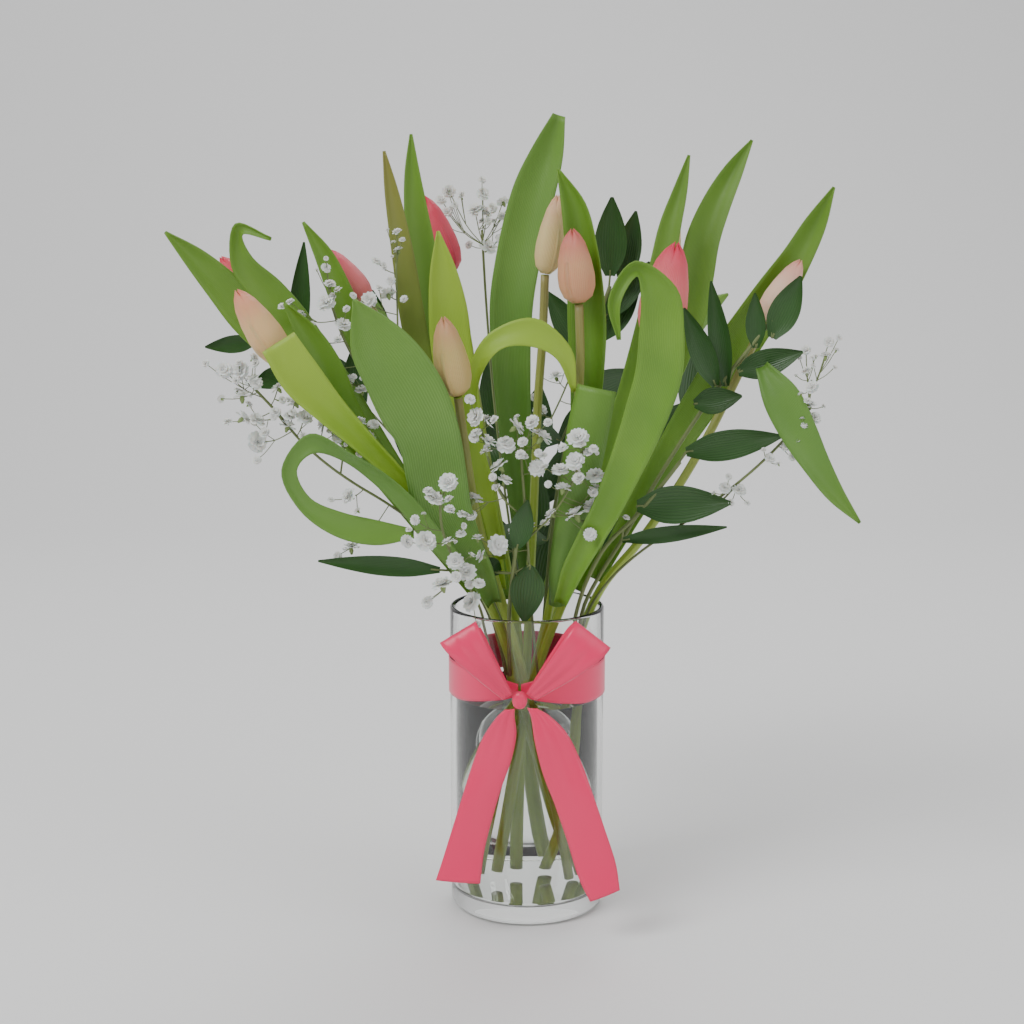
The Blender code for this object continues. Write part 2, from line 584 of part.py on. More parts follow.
def sheet(name, grid, thick, paint, collection=None):
    rows, columns = grid.shape[:2]
    bpy.ops.mesh.primitive_grid_add(x_subdivisions=columns - 1, y_subdivisions=rows - 1, size=2)
    obj = bpy.context.active_object
    obj.name = obj.data.name = name
    order = sorted(range(rows * columns), key=lambda k: (round(obj.data.vertices[k].co.y, 5), round(obj.data.vertices[k].co.x, 5)))
    flat = grid.reshape(-1, 3)
    for place, k in enumerate(order):
        obj.data.vertices[k].co = Vector(flat[place] * MM)
    file(obj, paint, collection)
    solid = obj.modifiers.new("thickness", "SOLIDIFY")
    solid.thickness = thick * MM
    solid.offset = 0
    smooth(obj)
    return obj


def smooth(obj, angle=40):
    if obj.type == "MESH":
        for face in obj.data.polygons:
            face.use_smooth = True


def turned(name, profile, steps, paint, collection=None):
    """profile: (radius, height) in mm, from the top down the outer side."""
    data = bpy.data.meshes.new(name)
    data.from_pydata([(r * MM, 0, z * MM) for r, z in profile], [(k, k + 1) for k in range(len(profile) - 1)], [])
    obj = file(bpy.data.objects.new(name, data), paint, collection)
    screw = obj.modifiers.new("turn", "SCREW")
    screw.axis = "Z"
    screw.angle = math.radians(360)
    screw.steps = screw.render_steps = steps
    screw.use_merge_vertices = True
    screw.merge_threshold = 0.00001
    screw.use_smooth_shade = True
    return obj


def grown(name, meshes, paint):
    """Closed meshes that touch each other, made one body."""
    trunk = file(bpy.data.objects.new(name, meshes[0]), paint)
    bm = bmesh.new()
    for data in meshes[1:]:
        bm.from_mesh(data)
    rest = bpy.data.meshes.new(name + "_parts")
    bm.to_mesh(rest)
    bm.free()
    parts = file(bpy.data.objects.new(name + "_parts", rest), None, cutters)
    join = trunk.modifiers.new("join", "BOOLEAN")
    join.operation, join.solver, join.object, join.use_self = "UNION", "EXACT", parts, True
    smooth(trunk)
    return trunk


# --------------------------------------------------------------------- vase
inner = VASE_R - VASE_WALL
turned(
    "glass_vase",
    [
        (0, VASE_FLOOR), (inner - 3, VASE_FLOOR), (inner - 0.8, VASE_FLOOR + 1.0), (inner, VASE_FLOOR + 3.5),
        (inner, VASE_H - 1.6), (inner + 0.7, VASE_H - 0.3), (VASE_R - 1.75, VASE_H), (VASE_R - 0.6, VASE_H - 0.4), (VASE_R, VASE_H - 1.8),
        (VASE_R, 5), (VASE_R - 1.2, 1.6), (VASE_R - 4, 0), (0, 0),
    ],
    32, GLASS,
)

# ------------------------------------------------------------- the bouquet
BUD = [(0.10, 1.00), (0.38, 0.93), (0.66, 0.80), (0.88, 0.60), (1.00, 0.38), (0.97, 0.22), (0.76, 0.08), (0.34, 0.0)]


def bud_cloud(base, tip, wide):
    heights = np.linspace(0.02, 1, 22)
    shape = np.array(BUD[::-1])
    path = base + (tip - base) * heights[:, None]
    points, half, _ = tube_cloud(path, np.interp(heights, shape[:, 1], shape[:, 0]) * wide / 2)
    return points, half


def spray_plan(spec):
    """Stems, and for each floret its stalk from the nearest lower place on a stem."""
    stems = []
    for k, places in enumerate(spec["stems"]):
        points = np.array([at(p) for p in places])
        stems.append(spline(points, stations_for(points, 22)))
    return stems


def branch_point(stems, target, back=10.0):
    """Where a stalk for `target` leaves the stems: the nearest place, a little nearer the root."""
    best = None
    for path in stems:
        seg = np.linalg.norm(np.diff(path, axis=0), axis=1)
        run = np.concatenate([[0], np.cumsum(seg)])
        s = np.linspace(run[-1] * 0.25, run[-1], 60)
        places = np.stack([np.interp(s, run, path[:, k]) for k in range(3)], 1)
        away = np.linalg.norm(places - target, axis=1)
        k = int(np.argmin(away))
        s0 = max(s[k] - min(back, 0.6 * away[k]), run[-1] * 0.2)
        if best is None or away[k] < best[0]:
            best = (away[k], np.array([np.interp(s0, run, path[:, c]) for c in range(3)]))
    return best[1]


WET = {}
for unit_name in ORDER:
    if unit_name in LEAVES:
        spec = LEAVES[unit_name]
        grid = settle_sheet(leaf_sheet(spec))
        remember([sheet_cloud(grid)])
        sheet(unit_name, grid, LEAF_T, LEAF)
    elif unit_name.startswith("tulip_"):
        spec = TULIPS[unit_name[6:]]
        points = np.array([at(p) for p in spec["stem"]])
        path = spline(points, stations_for(points, 40))
        base, tip = path[-1], at(spec["tip"])
        tip = base + (tip - base)
        cloud = bud_cloud(base, tip, spec["wide"])
        path = settle_tube(path, STEM_R, end=cloud)
        axis = tip - base
        WET[unit_name[6:]] = np.vstack([path[0] + unit(path[0] - path[1]) * 0.45, path[1:]])
        base = path[-1]
        tip = base + axis
        length = np.linalg.norm(axis)
        low = base + axis / length * 1.0
        remember([tube_cloud(path, STEM_R), (*bud_cloud(base, tip, spec["wide"]), None)])
        tube("tulip_stem_" + unit_name[6:], np.vstack([path[:-1], path[-1] + unit(path[-2] - path[-1]) * 0.9]), STEM_R, 6)
        bud = turned("tulip_bud_" + unit_name[6:], [(r * spec["wide"] / 2 if r > 0 else 0, h * (length - 1.0)) for r, h in [(0, 1.03)] + BUD + [(0, 0.0)]], 10, PETALS[unit_name[6:]])
        bud.matrix_world = Matrix.Translation(Vector(low * MM)) @ Vector(axis).to_track_quat("Z", "Y").to_matrix().to_4x4()
    elif unit_name in RUSCUS:
        spec = RUSCUS[unit_name]
        points = np.array([at(p) for p in spec["stem"]])
        path = settle_tube(spline(points, stations_for(points, 24)), 1.3)
        clouds, pieces = [tube_cloud(path, 1.3)], [meshed(tube(unit_name, path, 1.3, 6, DARK))]
        run = np.concatenate([[0], np.cumsum(np.linalg.norm(np.diff(path, axis=0), axis=1))])
        for k, (where, base, tip, wide, cup) in enumerate(spec["leaves"]):
            root = np.array([np.interp(where * run[-1], run, path[:, c]) for c in range(3)])
            grid = settle_sheet(small_leaf_sheet(base, tip, wide, cup))
            middle = grid[:, 1]
            inside = middle[0] + (middle[1] - middle[0]) * 0.3
            stalk = settle_tube(np.array([root, root * 0.67 + middle[0] * 0.33, root * 0.33 + middle[0] * 0.67, middle[0]]), 0.8, pinned=True)
            stalk[-1] = middle[0]
            stalk = np.vstack([stalk, inside])
            clouds += [sheet_cloud(grid), tube_cloud(stalk, 0.8)]
            pieces.append(meshed(sheet(unit_name + "_leaf", grid, LEAF_T, DARK)))
            pieces.append(meshed(tube(unit_name + "_stalk", stalk, 0.8, 4, DARK)))
        remember(clouds)
        grown(unit_name, pieces, DARK)
    else:
        spec = SPRAYS[unit_name]
        plan = spray_plan(spec)
        stems = [settle_tube(plan[0], 1.0)]
        for path in plan[1:]:
            # A side stem starts on the first one.
            first = stems[0]
            run = np.concatenate([[0], np.cumsum(np.linalg.norm(np.diff(first, axis=0), axis=1))])
            s = np.linspace(0, run[-1], 200)
            places = np.stack([np.interp(s, run, first[:, k]) for k in range(3)], 1)
            path[0] = places[np.argmin(np.linalg.norm(places - path[0], axis=1))]
            stems.append(settle_tube(path, 0.8, pinned=True))
        clouds = [tube_cloud(stems[0], 1.0)] + [tube_cloud(p, 0.8) for p in stems[1:]]
        pieces = [meshed(tube(unit_name, stems[0], 1.0, 6, WHITE))]
        pieces += [meshed(tube(unit_name + "_side", p, 0.8, 4, WHITE)) for p in stems[1:]]
        for k, (column, row, depth, size) in enumerate(spec["florets"]):
            target = at((column, row, depth))
            radius = size * 0.62
            root = branch_point(stems, target)
            t = np.linspace(0, 1, 3)[:, None]
            sag = np.sin(np.pi * t) * np.linalg.norm(target - root) * 0.10 * np.array((0, 0, -1.0))
            stalk = root + (target - root) * t + sag
            ball = tube_cloud(np.array([target - (0, 0, radius * 0.9), target, target + (0, 0, radius * 0.9)]), [radius * 0.5, radius, radius * 0.5])[:2]
            stalk = settle_tube(stalk, 0.55, pinned=True, end=ball)
            target = stalk[-1]
            clouds.append(tube_cloud(stalk, 0.55))
            clouds.append(tube_cloud(np.array([target - (0, 0, radius * 0.9), target, target + (0, 0, radius * 0.9)]), [radius * 0.5, radius, radius * 0.5]))
            pieces.append(meshed(tube(unit_name + "_stalk", stalk, 0.55, 4, WHITE)))
            bpy.ops.mesh.primitive_ico_sphere_add(subdivisions=1, radius=radius * MM, location=target * MM)
            pieces.append(meshed(file(bpy.context.active_object, WHITE)))
        remember(clouds)
        grown(unit_name, pieces, WHITE)

# -------------------------------------------------------------------- water
water = turned("water", [(0, WATER_TOP), (inner - 0.35, WATER_TOP), (inner - 0.35, VASE_FLOOR + 3.6), (inner - 1.2, VASE_FLOOR + 1.3), (inner - 3.3, VASE_FLOOR + 0.35), (0, VASE_FLOOR + 0.35)], 32, WATER)
sleeves = []
for number, path in WET.items():
    data = meshed(tube("sleeve_" + number, path, STEM_R + 0.45, 6, None, collection=cutters))
    sleeve = file(bpy.data.objects.new("sleeve_" + number, data), None, cutters)
    cut = water.modifiers.new("stem_" + number, "BOOLEAN")
    cut.operation, cut.solver, cut.object = "DIFFERENCE", "EXACT", sleeve

# ------------------------------------------------------------------- ribbon
BOW = np.array((-5.0, -57.0, 151.5))


def strip(name, spine, side, wide, thick=RIBBON_T, belly=0.0):
    spine, side = np.asarray(spine, float), unit(np.asarray(side, float))
    q = np.array((-1.0, 0.0, 1.0))
    grid = spine[:, None] + side[:, None] * (np.asarray(wide)[:, None] / 2 * q)[..., None]
    grid[:, 1, 1] -= belly
    return sheet(name, grid, thick, SATIN)


# The band goes round the glass from behind the knot and back to it.
turn = np.radians(np.linspace(-90 + 1.0, 270 - 1.0, 41)) - math.radians(5.6)
pinch = np.clip(np.minimum(np.abs(turn - turn[0]), np.abs(turn - turn[-1])) / math.radians(50), 0, 1) ** 0.7
low = BAND_LOW + 9.0 * (1 - pinch)
high = BAND_HIGH - 7.0 * (1 - pinch)
radius = VASE_R + 0.85
band = np.stack([np.stack([radius * np.cos(turn), radius * np.sin(turn), low * (1 - f) + high * f], 1) for f in (0, 0.5, 1)], 1)
sheet("ribbon_band", band, RIBBON_T, SATIN)

bpy.ops.mesh.primitive_uv_sphere_add(segments=12, ring_count=8, radius=1, location=BOW * MM)
knot = file(bpy.context.active_object, SATIN)
knot.name = knot.data.name = "bow_knot"
for v in knot.data.vertices:
    c = v.co
    v.co = Vector((c.x * 4.6, c.y * 3.6, c.z * 5.6)) * MM
smooth(knot)

fold_left = at((438, 643, -62)) - at((478, 619, -62))
far = at((458, 631, -62))
start = BOW + (-7.4, -0.4, 2.4)
out = far - start
strip(
    "bow_loop_left",
    [start + (0, -1.2, 0), start + out * 0.25 + (0, -6, 0), start + out * 0.55 + (0, -10, 0), start + out * 0.85 + (0, -9, 0), start + out + (0, -3, 0), start + out * 0.85 + (0, 2.6, 0), start + out * 0.55 + (0, 2.4, 0), start + out * 0.25 + (0, 2.4, 0), start + (0, 1.6, 0)],
    [fold_left] * 9, [7, 12, 18, 24, 26, 24, 18, 12, 7],
)
fold_right = at((613, 646, -62)) - at((574, 616, -62))
far = at((593, 633, -62))
start = BOW + (7.0, -0.4, 2.4)
out = far - start
strip(
    "bow_loop_right",
    [start + (0, -1.2, 0), start + out * 0.25 + (0, -7, 0), start + out * 0.55 + (0, -12, 0), start + out * 0.85 + (0, -11, 0), start + out + (0, -4, 0), start + out * 0.85 + (0, 2.6, 0), start + out * 0.55 + (0, 2.4, 0), start + out * 0.25 + (0, 2.4, 0), start + (0, 1.6, 0)],
    [fold_right] * 9, [7, 13, 20, 26, 27, 26, 20, 13, 7],
)
left = [at(p) for p in ((510, 709, -58), (505, 718, -58), (499, 738, -57), (491, 765, -57), (481, 795, -58), (471, 828, -60), (463, 857, -63), (458, 882, -66))]
strip("ribbon_tail_left", left, [(1, 0, 0.10), (1, 0, 0.12), (1, -0.1, 0.16), (1, -0.15, 0.24), (1, 0.05, 0.28), (1, 0.15, 0.28), (1, 0.1, 0.2), (1, 0, -0.08)], [6, 12, 22, 26, 26, 27, 27, 28], belly=1.0)
right = [at(p) for p in ((532, 708, -59), (541, 718, -61), (551, 738, -62), (562, 768, -62), (574, 800, -64), (586, 835, -67), (597, 870, -71), (605, 896, -75))]
strip("ribbon_tail_right", right, [(1, 0, -0.1), (1, 0.1, 0.1), (1, 0.2, 0.2), (1, 0.1, 0.3), (1, -0.1, 0.35), (1, -0.1, 0.38), (1, 0, 0.4), (1, 0, 0.42)], [6, 12, 21, 25, 25, 25, 25, 20], belly=1.0)
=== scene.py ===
"""The looks of the tulips in a vase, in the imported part's frame."""
import math
import random

import bpy
import numpy as np
from mathutils import Matrix, Vector


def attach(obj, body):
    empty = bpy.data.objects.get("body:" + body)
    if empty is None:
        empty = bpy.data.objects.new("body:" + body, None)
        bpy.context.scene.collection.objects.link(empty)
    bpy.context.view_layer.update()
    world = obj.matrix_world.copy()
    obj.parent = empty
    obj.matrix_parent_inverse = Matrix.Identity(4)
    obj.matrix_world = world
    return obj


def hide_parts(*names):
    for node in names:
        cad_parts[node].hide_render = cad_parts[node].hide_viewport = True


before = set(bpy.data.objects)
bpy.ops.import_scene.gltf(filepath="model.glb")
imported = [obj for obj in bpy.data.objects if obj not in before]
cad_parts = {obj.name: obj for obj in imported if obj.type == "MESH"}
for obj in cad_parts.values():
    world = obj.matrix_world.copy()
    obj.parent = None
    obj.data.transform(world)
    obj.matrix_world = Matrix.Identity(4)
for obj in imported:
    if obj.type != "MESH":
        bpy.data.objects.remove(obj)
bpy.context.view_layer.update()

MM = 0.001

# Vase, mm
VASE_R, VASE_H, VASE_WALL, VASE_FLOOR = 50.0, 200.0, 3.5, 11.0
WATER_TOP = 141.0
RIBBON_T = 0.5
BAND_LOW, BAND_HIGH = 143.5, 167.0

# Elevation
EYE = np.array((-9.7, -1120.0, 450.0))
PITCH = math.radians(9.6)
REACH = 1765.0
MID = 512.0

# Settling, mm
GAP = 0.6
LEAF_T = 0.9
STEM_R = 3.1
SLOPE = 0.5

# Tulips, foot to bud base, then the bud's tip and its widest diameter.
TULIPS = {
    "05": dict(
        stem=[(566, 878, -30), (548, 780, -33), (519, 660, -36), (503, 605, -37), (480, 530, -44), (470, 480, -50), (463, 430, -56), (458, 397, -60)],
        tip=(443, 319, -62), wide=21,
    ),
    "01": dict(
        stem=[(574, 874, -20), (540, 770, -23), (510, 660, -26), (491, 606, -29), (445, 545, -36), (402, 478, -42), (352, 434, -47), (318, 402, -50), (283, 362, -52)],
        tip=(237, 292, -56), wide=21,
    ),
    "09": dict(
        stem=[(486, 874, -16), (506, 770, -18), (541, 660, -20), (562, 606, -22), (592, 530, -26), (625, 450, -30), (645, 390, -34), (656, 342, -36)],
        tip=(676, 243, -40), wide=29,
    ),
    "07": dict(
        stem=[(503, 872, -6), (518, 770, -8), (538, 660, -9), (550, 606, -10), (562, 520, -16), (574, 440, -24), (580, 375, -30), (579, 304, -34)],
        tip=(572, 231, -36), wide=22,
    ),
    "10": dict(
        stem=[(540, 868, 4), (562, 770, 2), (577, 660, 0), (587, 606, -4), (615, 574, -8), (655, 520, -12), (692, 465, -14), (726, 400, -12), (764, 322, -8)],
        tip=(800, 262, -6), wide=18,
    ),
    "06": dict(
        stem=[(519, 868, 6), (521, 770, 6), (527, 660, 6), (529, 606, 6), (534, 500, 6), (538, 400, 4), (543, 330, 0), (545, 275, -4)],
        tip=(558, 197, -6), wide=17,
    ),
    "03": dict(
        stem=[(560, 862, 8), (536, 770, 8), (513, 660, 8), (501, 606, 9), (474, 540, 16), (432, 440, 18), (396, 350, 20), (368, 303, 22)],
        tip=(330, 252, 24), wide=17,
    ),
    "02": dict(
        stem=[(570, 858, 14), (536, 770, 14), (505, 660, 14), (490, 606, 15), (448, 545, 22), (372, 470, 20), (310, 390, 16), (262, 312, 12)],
        tip=(222, 258, 10), wide=17,
    ),
    "08": dict(
        stem=[(488, 856, 20), (509, 770, 20), (538, 660, 20), (553, 606, 21), (584, 530, 28), (620, 430, 38), (645, 350, 42), (660, 290, 44)],
        tip=(674, 213, 46), wide=18,
    ),
    "04": dict(
        stem=[(538, 852, 26), (528, 770, 26), (519, 660, 26), (514, 606, 28), (500, 530, 38), (480, 420, 52), (466, 330, 57), (453, 272, 60)],
        tip=(425, 198, 64), wide=20,
    ),
}

# Tulip leaves, base to tip: places, widths across the blade in mm, cup (mm of
# rise of both edges towards the viewer), and how far each place is rolled
# about its own spine, in degrees.
LEAVES = {
    "leaf_loop_left": dict(
        at=[(478, 586, -40), (440, 545, -52), (408, 505, -58), (375, 474, -63), (345, 455, -67), (316, 443, -69), (296, 452, -70), (289, 474, -68), (299, 498, -66), (322, 516, -64), (352, 529, -61), (388, 534, -57), (414, 534, -54)],
        wide=[9, 12, 12, 12, 12, 13, 11, 9, 9, 12, 18, 15, 6], cup=1.5, roll=[0, 10, 20, 45, 60, 20, 10, 10, 10, 10, 10, 20, 20],
    ),
    "leaf_front_left": dict(
        at=[(494, 604, -37), (481, 575, -46), (462, 545, -54), (441, 505, -60), (433, 450, -66), (414, 405, -73), (390, 362, -80), (368, 330, -85), (354, 300, -88)],
        wide=[9, 16, 25, 37, 36, 43, 40, 28, 2], cup=5, roll=[0, 0, 5, 5, 5, 0, -5, -10, -10],
    ),
    "leaf_front_right": dict(
        at=[(560, 604, -37), (575, 566, -44), (602, 518, -53), (624, 470, -60), (645, 418, -68), (660, 368, -74), (661, 318, -78), (655, 280, -78), (638, 268, -77), (621, 284, -80), (613, 312, -82), (619, 340, -82)],
        wide=[8, 14, 17, 21, 26, 28, 26, 19, 9, 8, 7, 2], cup=4, roll=[0, 0, 0, 0, 0, 5, 5, 0, 0, 0, 0, 0],
    ),
    "leaf_right_hanging": dict(
        at=[(762, 366, -34), (778, 392, -44), (795, 425, -50), (815, 462, -53), (838, 498, -54), (860, 523, -54)],
        wide=[8, 22, 23, 17, 10, 1.5], cup=3, roll=[0, 0, 0, 5, 5, 5],
    ),
    "leaf_wrap": dict(
        at=[(420, 500, -56), (380, 458, -62), (345, 425, -66), (318, 396, -69), (295, 370, -71), (278, 342, -71)],
        wide=[7, 12, 16, 22, 26, 22], cup=5, roll=[0, 0, 0, 0, 0, 0],
    ),
    "leaf_panel": dict(
        at=[(556, 606, -34), (562, 560, -38), (576, 500, -42), (586, 440, -46), (597, 388, -46)],
        wide=[9, 15, 22, 26, 24], cup=-4, roll=[0, 0, 0, 0, 0],
    ),
    "leaf_arch": dict(
        at=[(500, 560, -26), (482, 480, -32), (470, 410, -38), (478, 364, -42), (500, 338, -45), (528, 332, -47), (554, 340, -48), (568, 364, -48), (574, 392, -46)],
        wide=[8, 11, 10, 9, 13, 18, 14, 9, 3], cup=2, roll=[0, 0, 10, 20, 10, 0, 0, 10, 20],
    ),
    "leaf_left_inner": dict(
        at=[(455, 560, -22), (400, 490, -26), (352, 420, -30), (328, 368, -33), (306, 332, -34), (284, 303, -35)],
        wide=[8, 13, 17, 18, 14, 1.5], cup=3, roll=[0, 0, 0, 0, 0, 0],
    ),
    "leaf_keeled": dict(
        at=[(566, 560, -6), (580, 480, -10), (586, 400, -16), (588, 330, -20), (584, 262, -22), (574, 205, -22), (558, 169, -20)],
        wide=[8, 13, 19, 24, 22, 15, 1.5], cup=7, roll=[0, 0, 0, 10, 15, 10, 0],
    ),
    "leaf_behind_bud": dict(
        at=[(500, 590, -10), (484, 500, -12), (464, 420, -14), (452, 350, -15), (447, 300, -16), (442, 262, -16), (438, 231, -15)],
        wide=[8, 15, 23, 26, 23, 14, 1.5], cup=4, roll=[0, 0, 0, 0, 0, 0, 0],
    ),
    "leaf_olive": dict(
        at=[(492, 596, -4), (462, 500, -4), (432, 410, -2), (413, 320, 2), (403, 255, 6), (393, 200, 9), (384, 151, 12)],
        wide=[8, 12, 15, 16, 14, 10, 1.5], cup=2, roll=[0, 0, 0, 0, 0, 0, 0],
    ),
    "leaf_top_left": dict(
        at=[(506, 600, 4), (482, 500, 8), (450, 400, 14), (430, 310, 20), (420, 240, 26), (413, 185, 30), (411, 134, 34)],
        wide=[8, 13, 17, 19, 18, 12, 1.5], cup=3, roll=[0, 0, 0, 0, 0, 0, 0],
    ),
    "leaf_hooked": dict(
        at=[(462, 570, -6), (400, 480, -10), (340, 390, -16), (290, 320, -20), (256, 278, -22), (236, 254, -22), (233, 236, -22), (246, 226, -23), (260, 228, -25), (271, 239, -28)],
        wide=[8, 14, 20, 23, 19, 11, 8, 8, 7, 2], cup=3, roll=[0, 0, 0, 0, 0, 0, 10, 10, 10, 0],
    ),
    "leaf_right_tall": dict(
        at=[(596, 580, 0), (640, 500, 4), (690, 420, 8), (735, 350, 8), (776, 290, 4), (800, 252, 2), (820, 215, 0), (834, 187, -2)],
        wide=[8, 14, 22, 27, 24, 18, 12, 1.5], cup=5, roll=[0, 0, 0, 0, -5, -5, 0, 0],
    ),
    "leaf_left_long": dict(
        at=[(478, 596, -2), (420, 520, -4), (350, 430, -8), (296, 364, -12), (248, 314, -16), (205, 268, -20), (165, 232, -24)],
        wide=[8, 14, 20, 24, 26, 18, 1.5], cup=4, roll=[0, 0, 0, 0, 0, 0, 0],
    ),
    "leaf_left_top": dict(
        at=[(486, 590, 10), (446, 510, 10), (396, 410, 8), (352, 322, 4), (336, 282, 2), (322, 252, 2), (303, 222, 2)],
        wide=[8, 13, 17, 17, 15, 11, 1.5], cup=3, roll=[0, 0, 0, 0, 0, 0, 0],
    ),
    "leaf_top_right_low": dict(
        at=[(570, 570, 30), (600, 480, 34), (630, 390, 38), (655, 300, 42), (668, 235, 46), (679, 195, 49), (689, 155, 52)],
        wide=[8, 12, 15, 17, 15, 10, 1.5], cup=3, roll=[0, 0, 0, 0, 0, 0, 0],
    ),
    "leaf_top_right": dict(
        at=[(576, 590, 36), (620, 480, 42), (660, 390, 50), (690, 310, 56), (700, 250, 62), (716, 205, 67), (735, 168, 71), (752, 140, 75)],
        wide=[8, 14, 19, 23, 23, 19, 12, 1.5], cup=5, roll=[0, 0, 0, 0, 0, 0, 0, 0],
    ),
    "leaf_top_centre": dict(
        at=[(530, 596, 22), (520, 500, 26), (513, 400, 31), (511, 310, 36), (522, 240, 40), (536, 185, 42), (550, 145, 43), (559, 115, 43)],
        wide=[9, 15, 23, 28, 29, 27, 19, 8], cup=6, roll=[0, 0, 0, 0, 0, 0, 0, 0],
    ),
    "leaf_back_left": dict(
        at=[(504, 592, 44), (468, 500, 60), (420, 410, 82), (380, 340, 102), (352, 290, 118), (336, 262, 128)],
        wide=[8, 16, 25, 27, 20, 1.5], cup=-5, roll=[0, 0, 0, 0, 0, 0],
    ),
    "leaf_back_right": dict(
        at=[(548, 592, 46), (580, 500, 66), (622, 420, 92), (664, 352, 116), (700, 312, 132), (728, 294, 140)],
        wide=[8, 17, 26, 28, 20, 1.5], cup=-5, roll=[0, 0, 0, 0, 0, 0],
    ),
}

# Ruscus sprigs: the stem from its foot, then each leaf as (place on the stem
# from 0 to 1, base, tip, widest mm, cup mm).
RUSCUS = {
    "ruscus_front": dict(
        stem=[(510, 676, -30), (509, 616, -34), (512, 580, -42), (516, 548, -48)],
        leaves=[
            (0.80, (530, 566, -45), (524, 622, -37), 21, 3),
            (0.98, (517, 548, -49), (528, 500, -52), 14, 2),
            (0.80, (500, 572, -47), (478, 560, -50), 12, 2),
            (0.80, (440, 570, -46), (318, 561, -54), 12, 2),
        ],
    ),
    "ruscus_right_low": dict(
        stem=[(566, 676, -24), (578, 606, -27), (603, 550, -35), (640, 512, -39), (680, 462, -43)],
        leaves=[
            (0.66, (622, 540, -36), (727, 527, -44), 10, 2),
            (0.76, (637, 506, -41), (731, 503, -48), 23, 4),
            (0.98, (686, 452, -44), (783, 436, -50), 18, 4),
        ],
    ),
    "ruscus_right": dict(
        stem=[(574, 676, -14), (584, 606, -16), (622, 540, -18), (668, 462, -22), (712, 396, -26), (752, 345, -28), (772, 320, -30)],
        leaves=[
            (0.99, (772, 338, -31), (801, 276, -36), 18, 3),
            (0.97, (756, 348, -29), (755, 293, -33), 12, 2),
            (0.92, (738, 372, -29), (803, 352, -38), 17, 3),
            (0.86, (726, 386, -28), (711, 281, -32), 13, 3),
            (0.82, (716, 386, -30), (684, 308, -36), 15, 3),
            (0.76, (694, 404, -30), (742, 396, -38), 16, 3),
        ],
    ),
    "ruscus_left": dict(
        stem=[(506, 676, 8), (488, 612, 8), (430, 520, 14), (360, 430, 16), (300, 362, 14), (262, 335, 10)],
        leaves=[
            (0.93, (294, 340, 12), (243, 250, 10), 13, 2),
            (0.99, (256, 342, 8), (205, 347, 2), 11, 2),
            (0.86, (296, 356, 18), (304, 242, 20), 13, 2),
            (0.84, (288, 372, 10), (252, 386, 4), 13, 2),
            (0.60, (356, 420, 24), (352, 350, 40), 17, 3),
        ],
    ),
    "ruscus_back": dict(
        stem=[(541, 676, 22), (545, 606, 30), (556, 500, 52), (576, 400, 62), (598, 320, 66), (610, 286, 66)],
        leaves=[
            (0.99, (610, 276, 66), (612, 197, 64), 21, 3),
            (0.98, (622, 282, 70), (636, 211, 76), 17, 3),
            (0.92, (604, 318, 70), (650, 262, 84), 17, 3),
            (0.85, (584, 352, 66), (548, 292, 84), 18, 3),
            (0.76, (578, 396, 72), (640, 372, 108), 20, 3),
            (0.66, (560, 440, 64), (500, 424, 104), 20, 3),
            (0.50, (552, 520, 58), (588, 498, 104), 18, 3),
            (0.44, (546, 540, 56), (488, 532, 100), 18, 3),
        ],
    ),
}

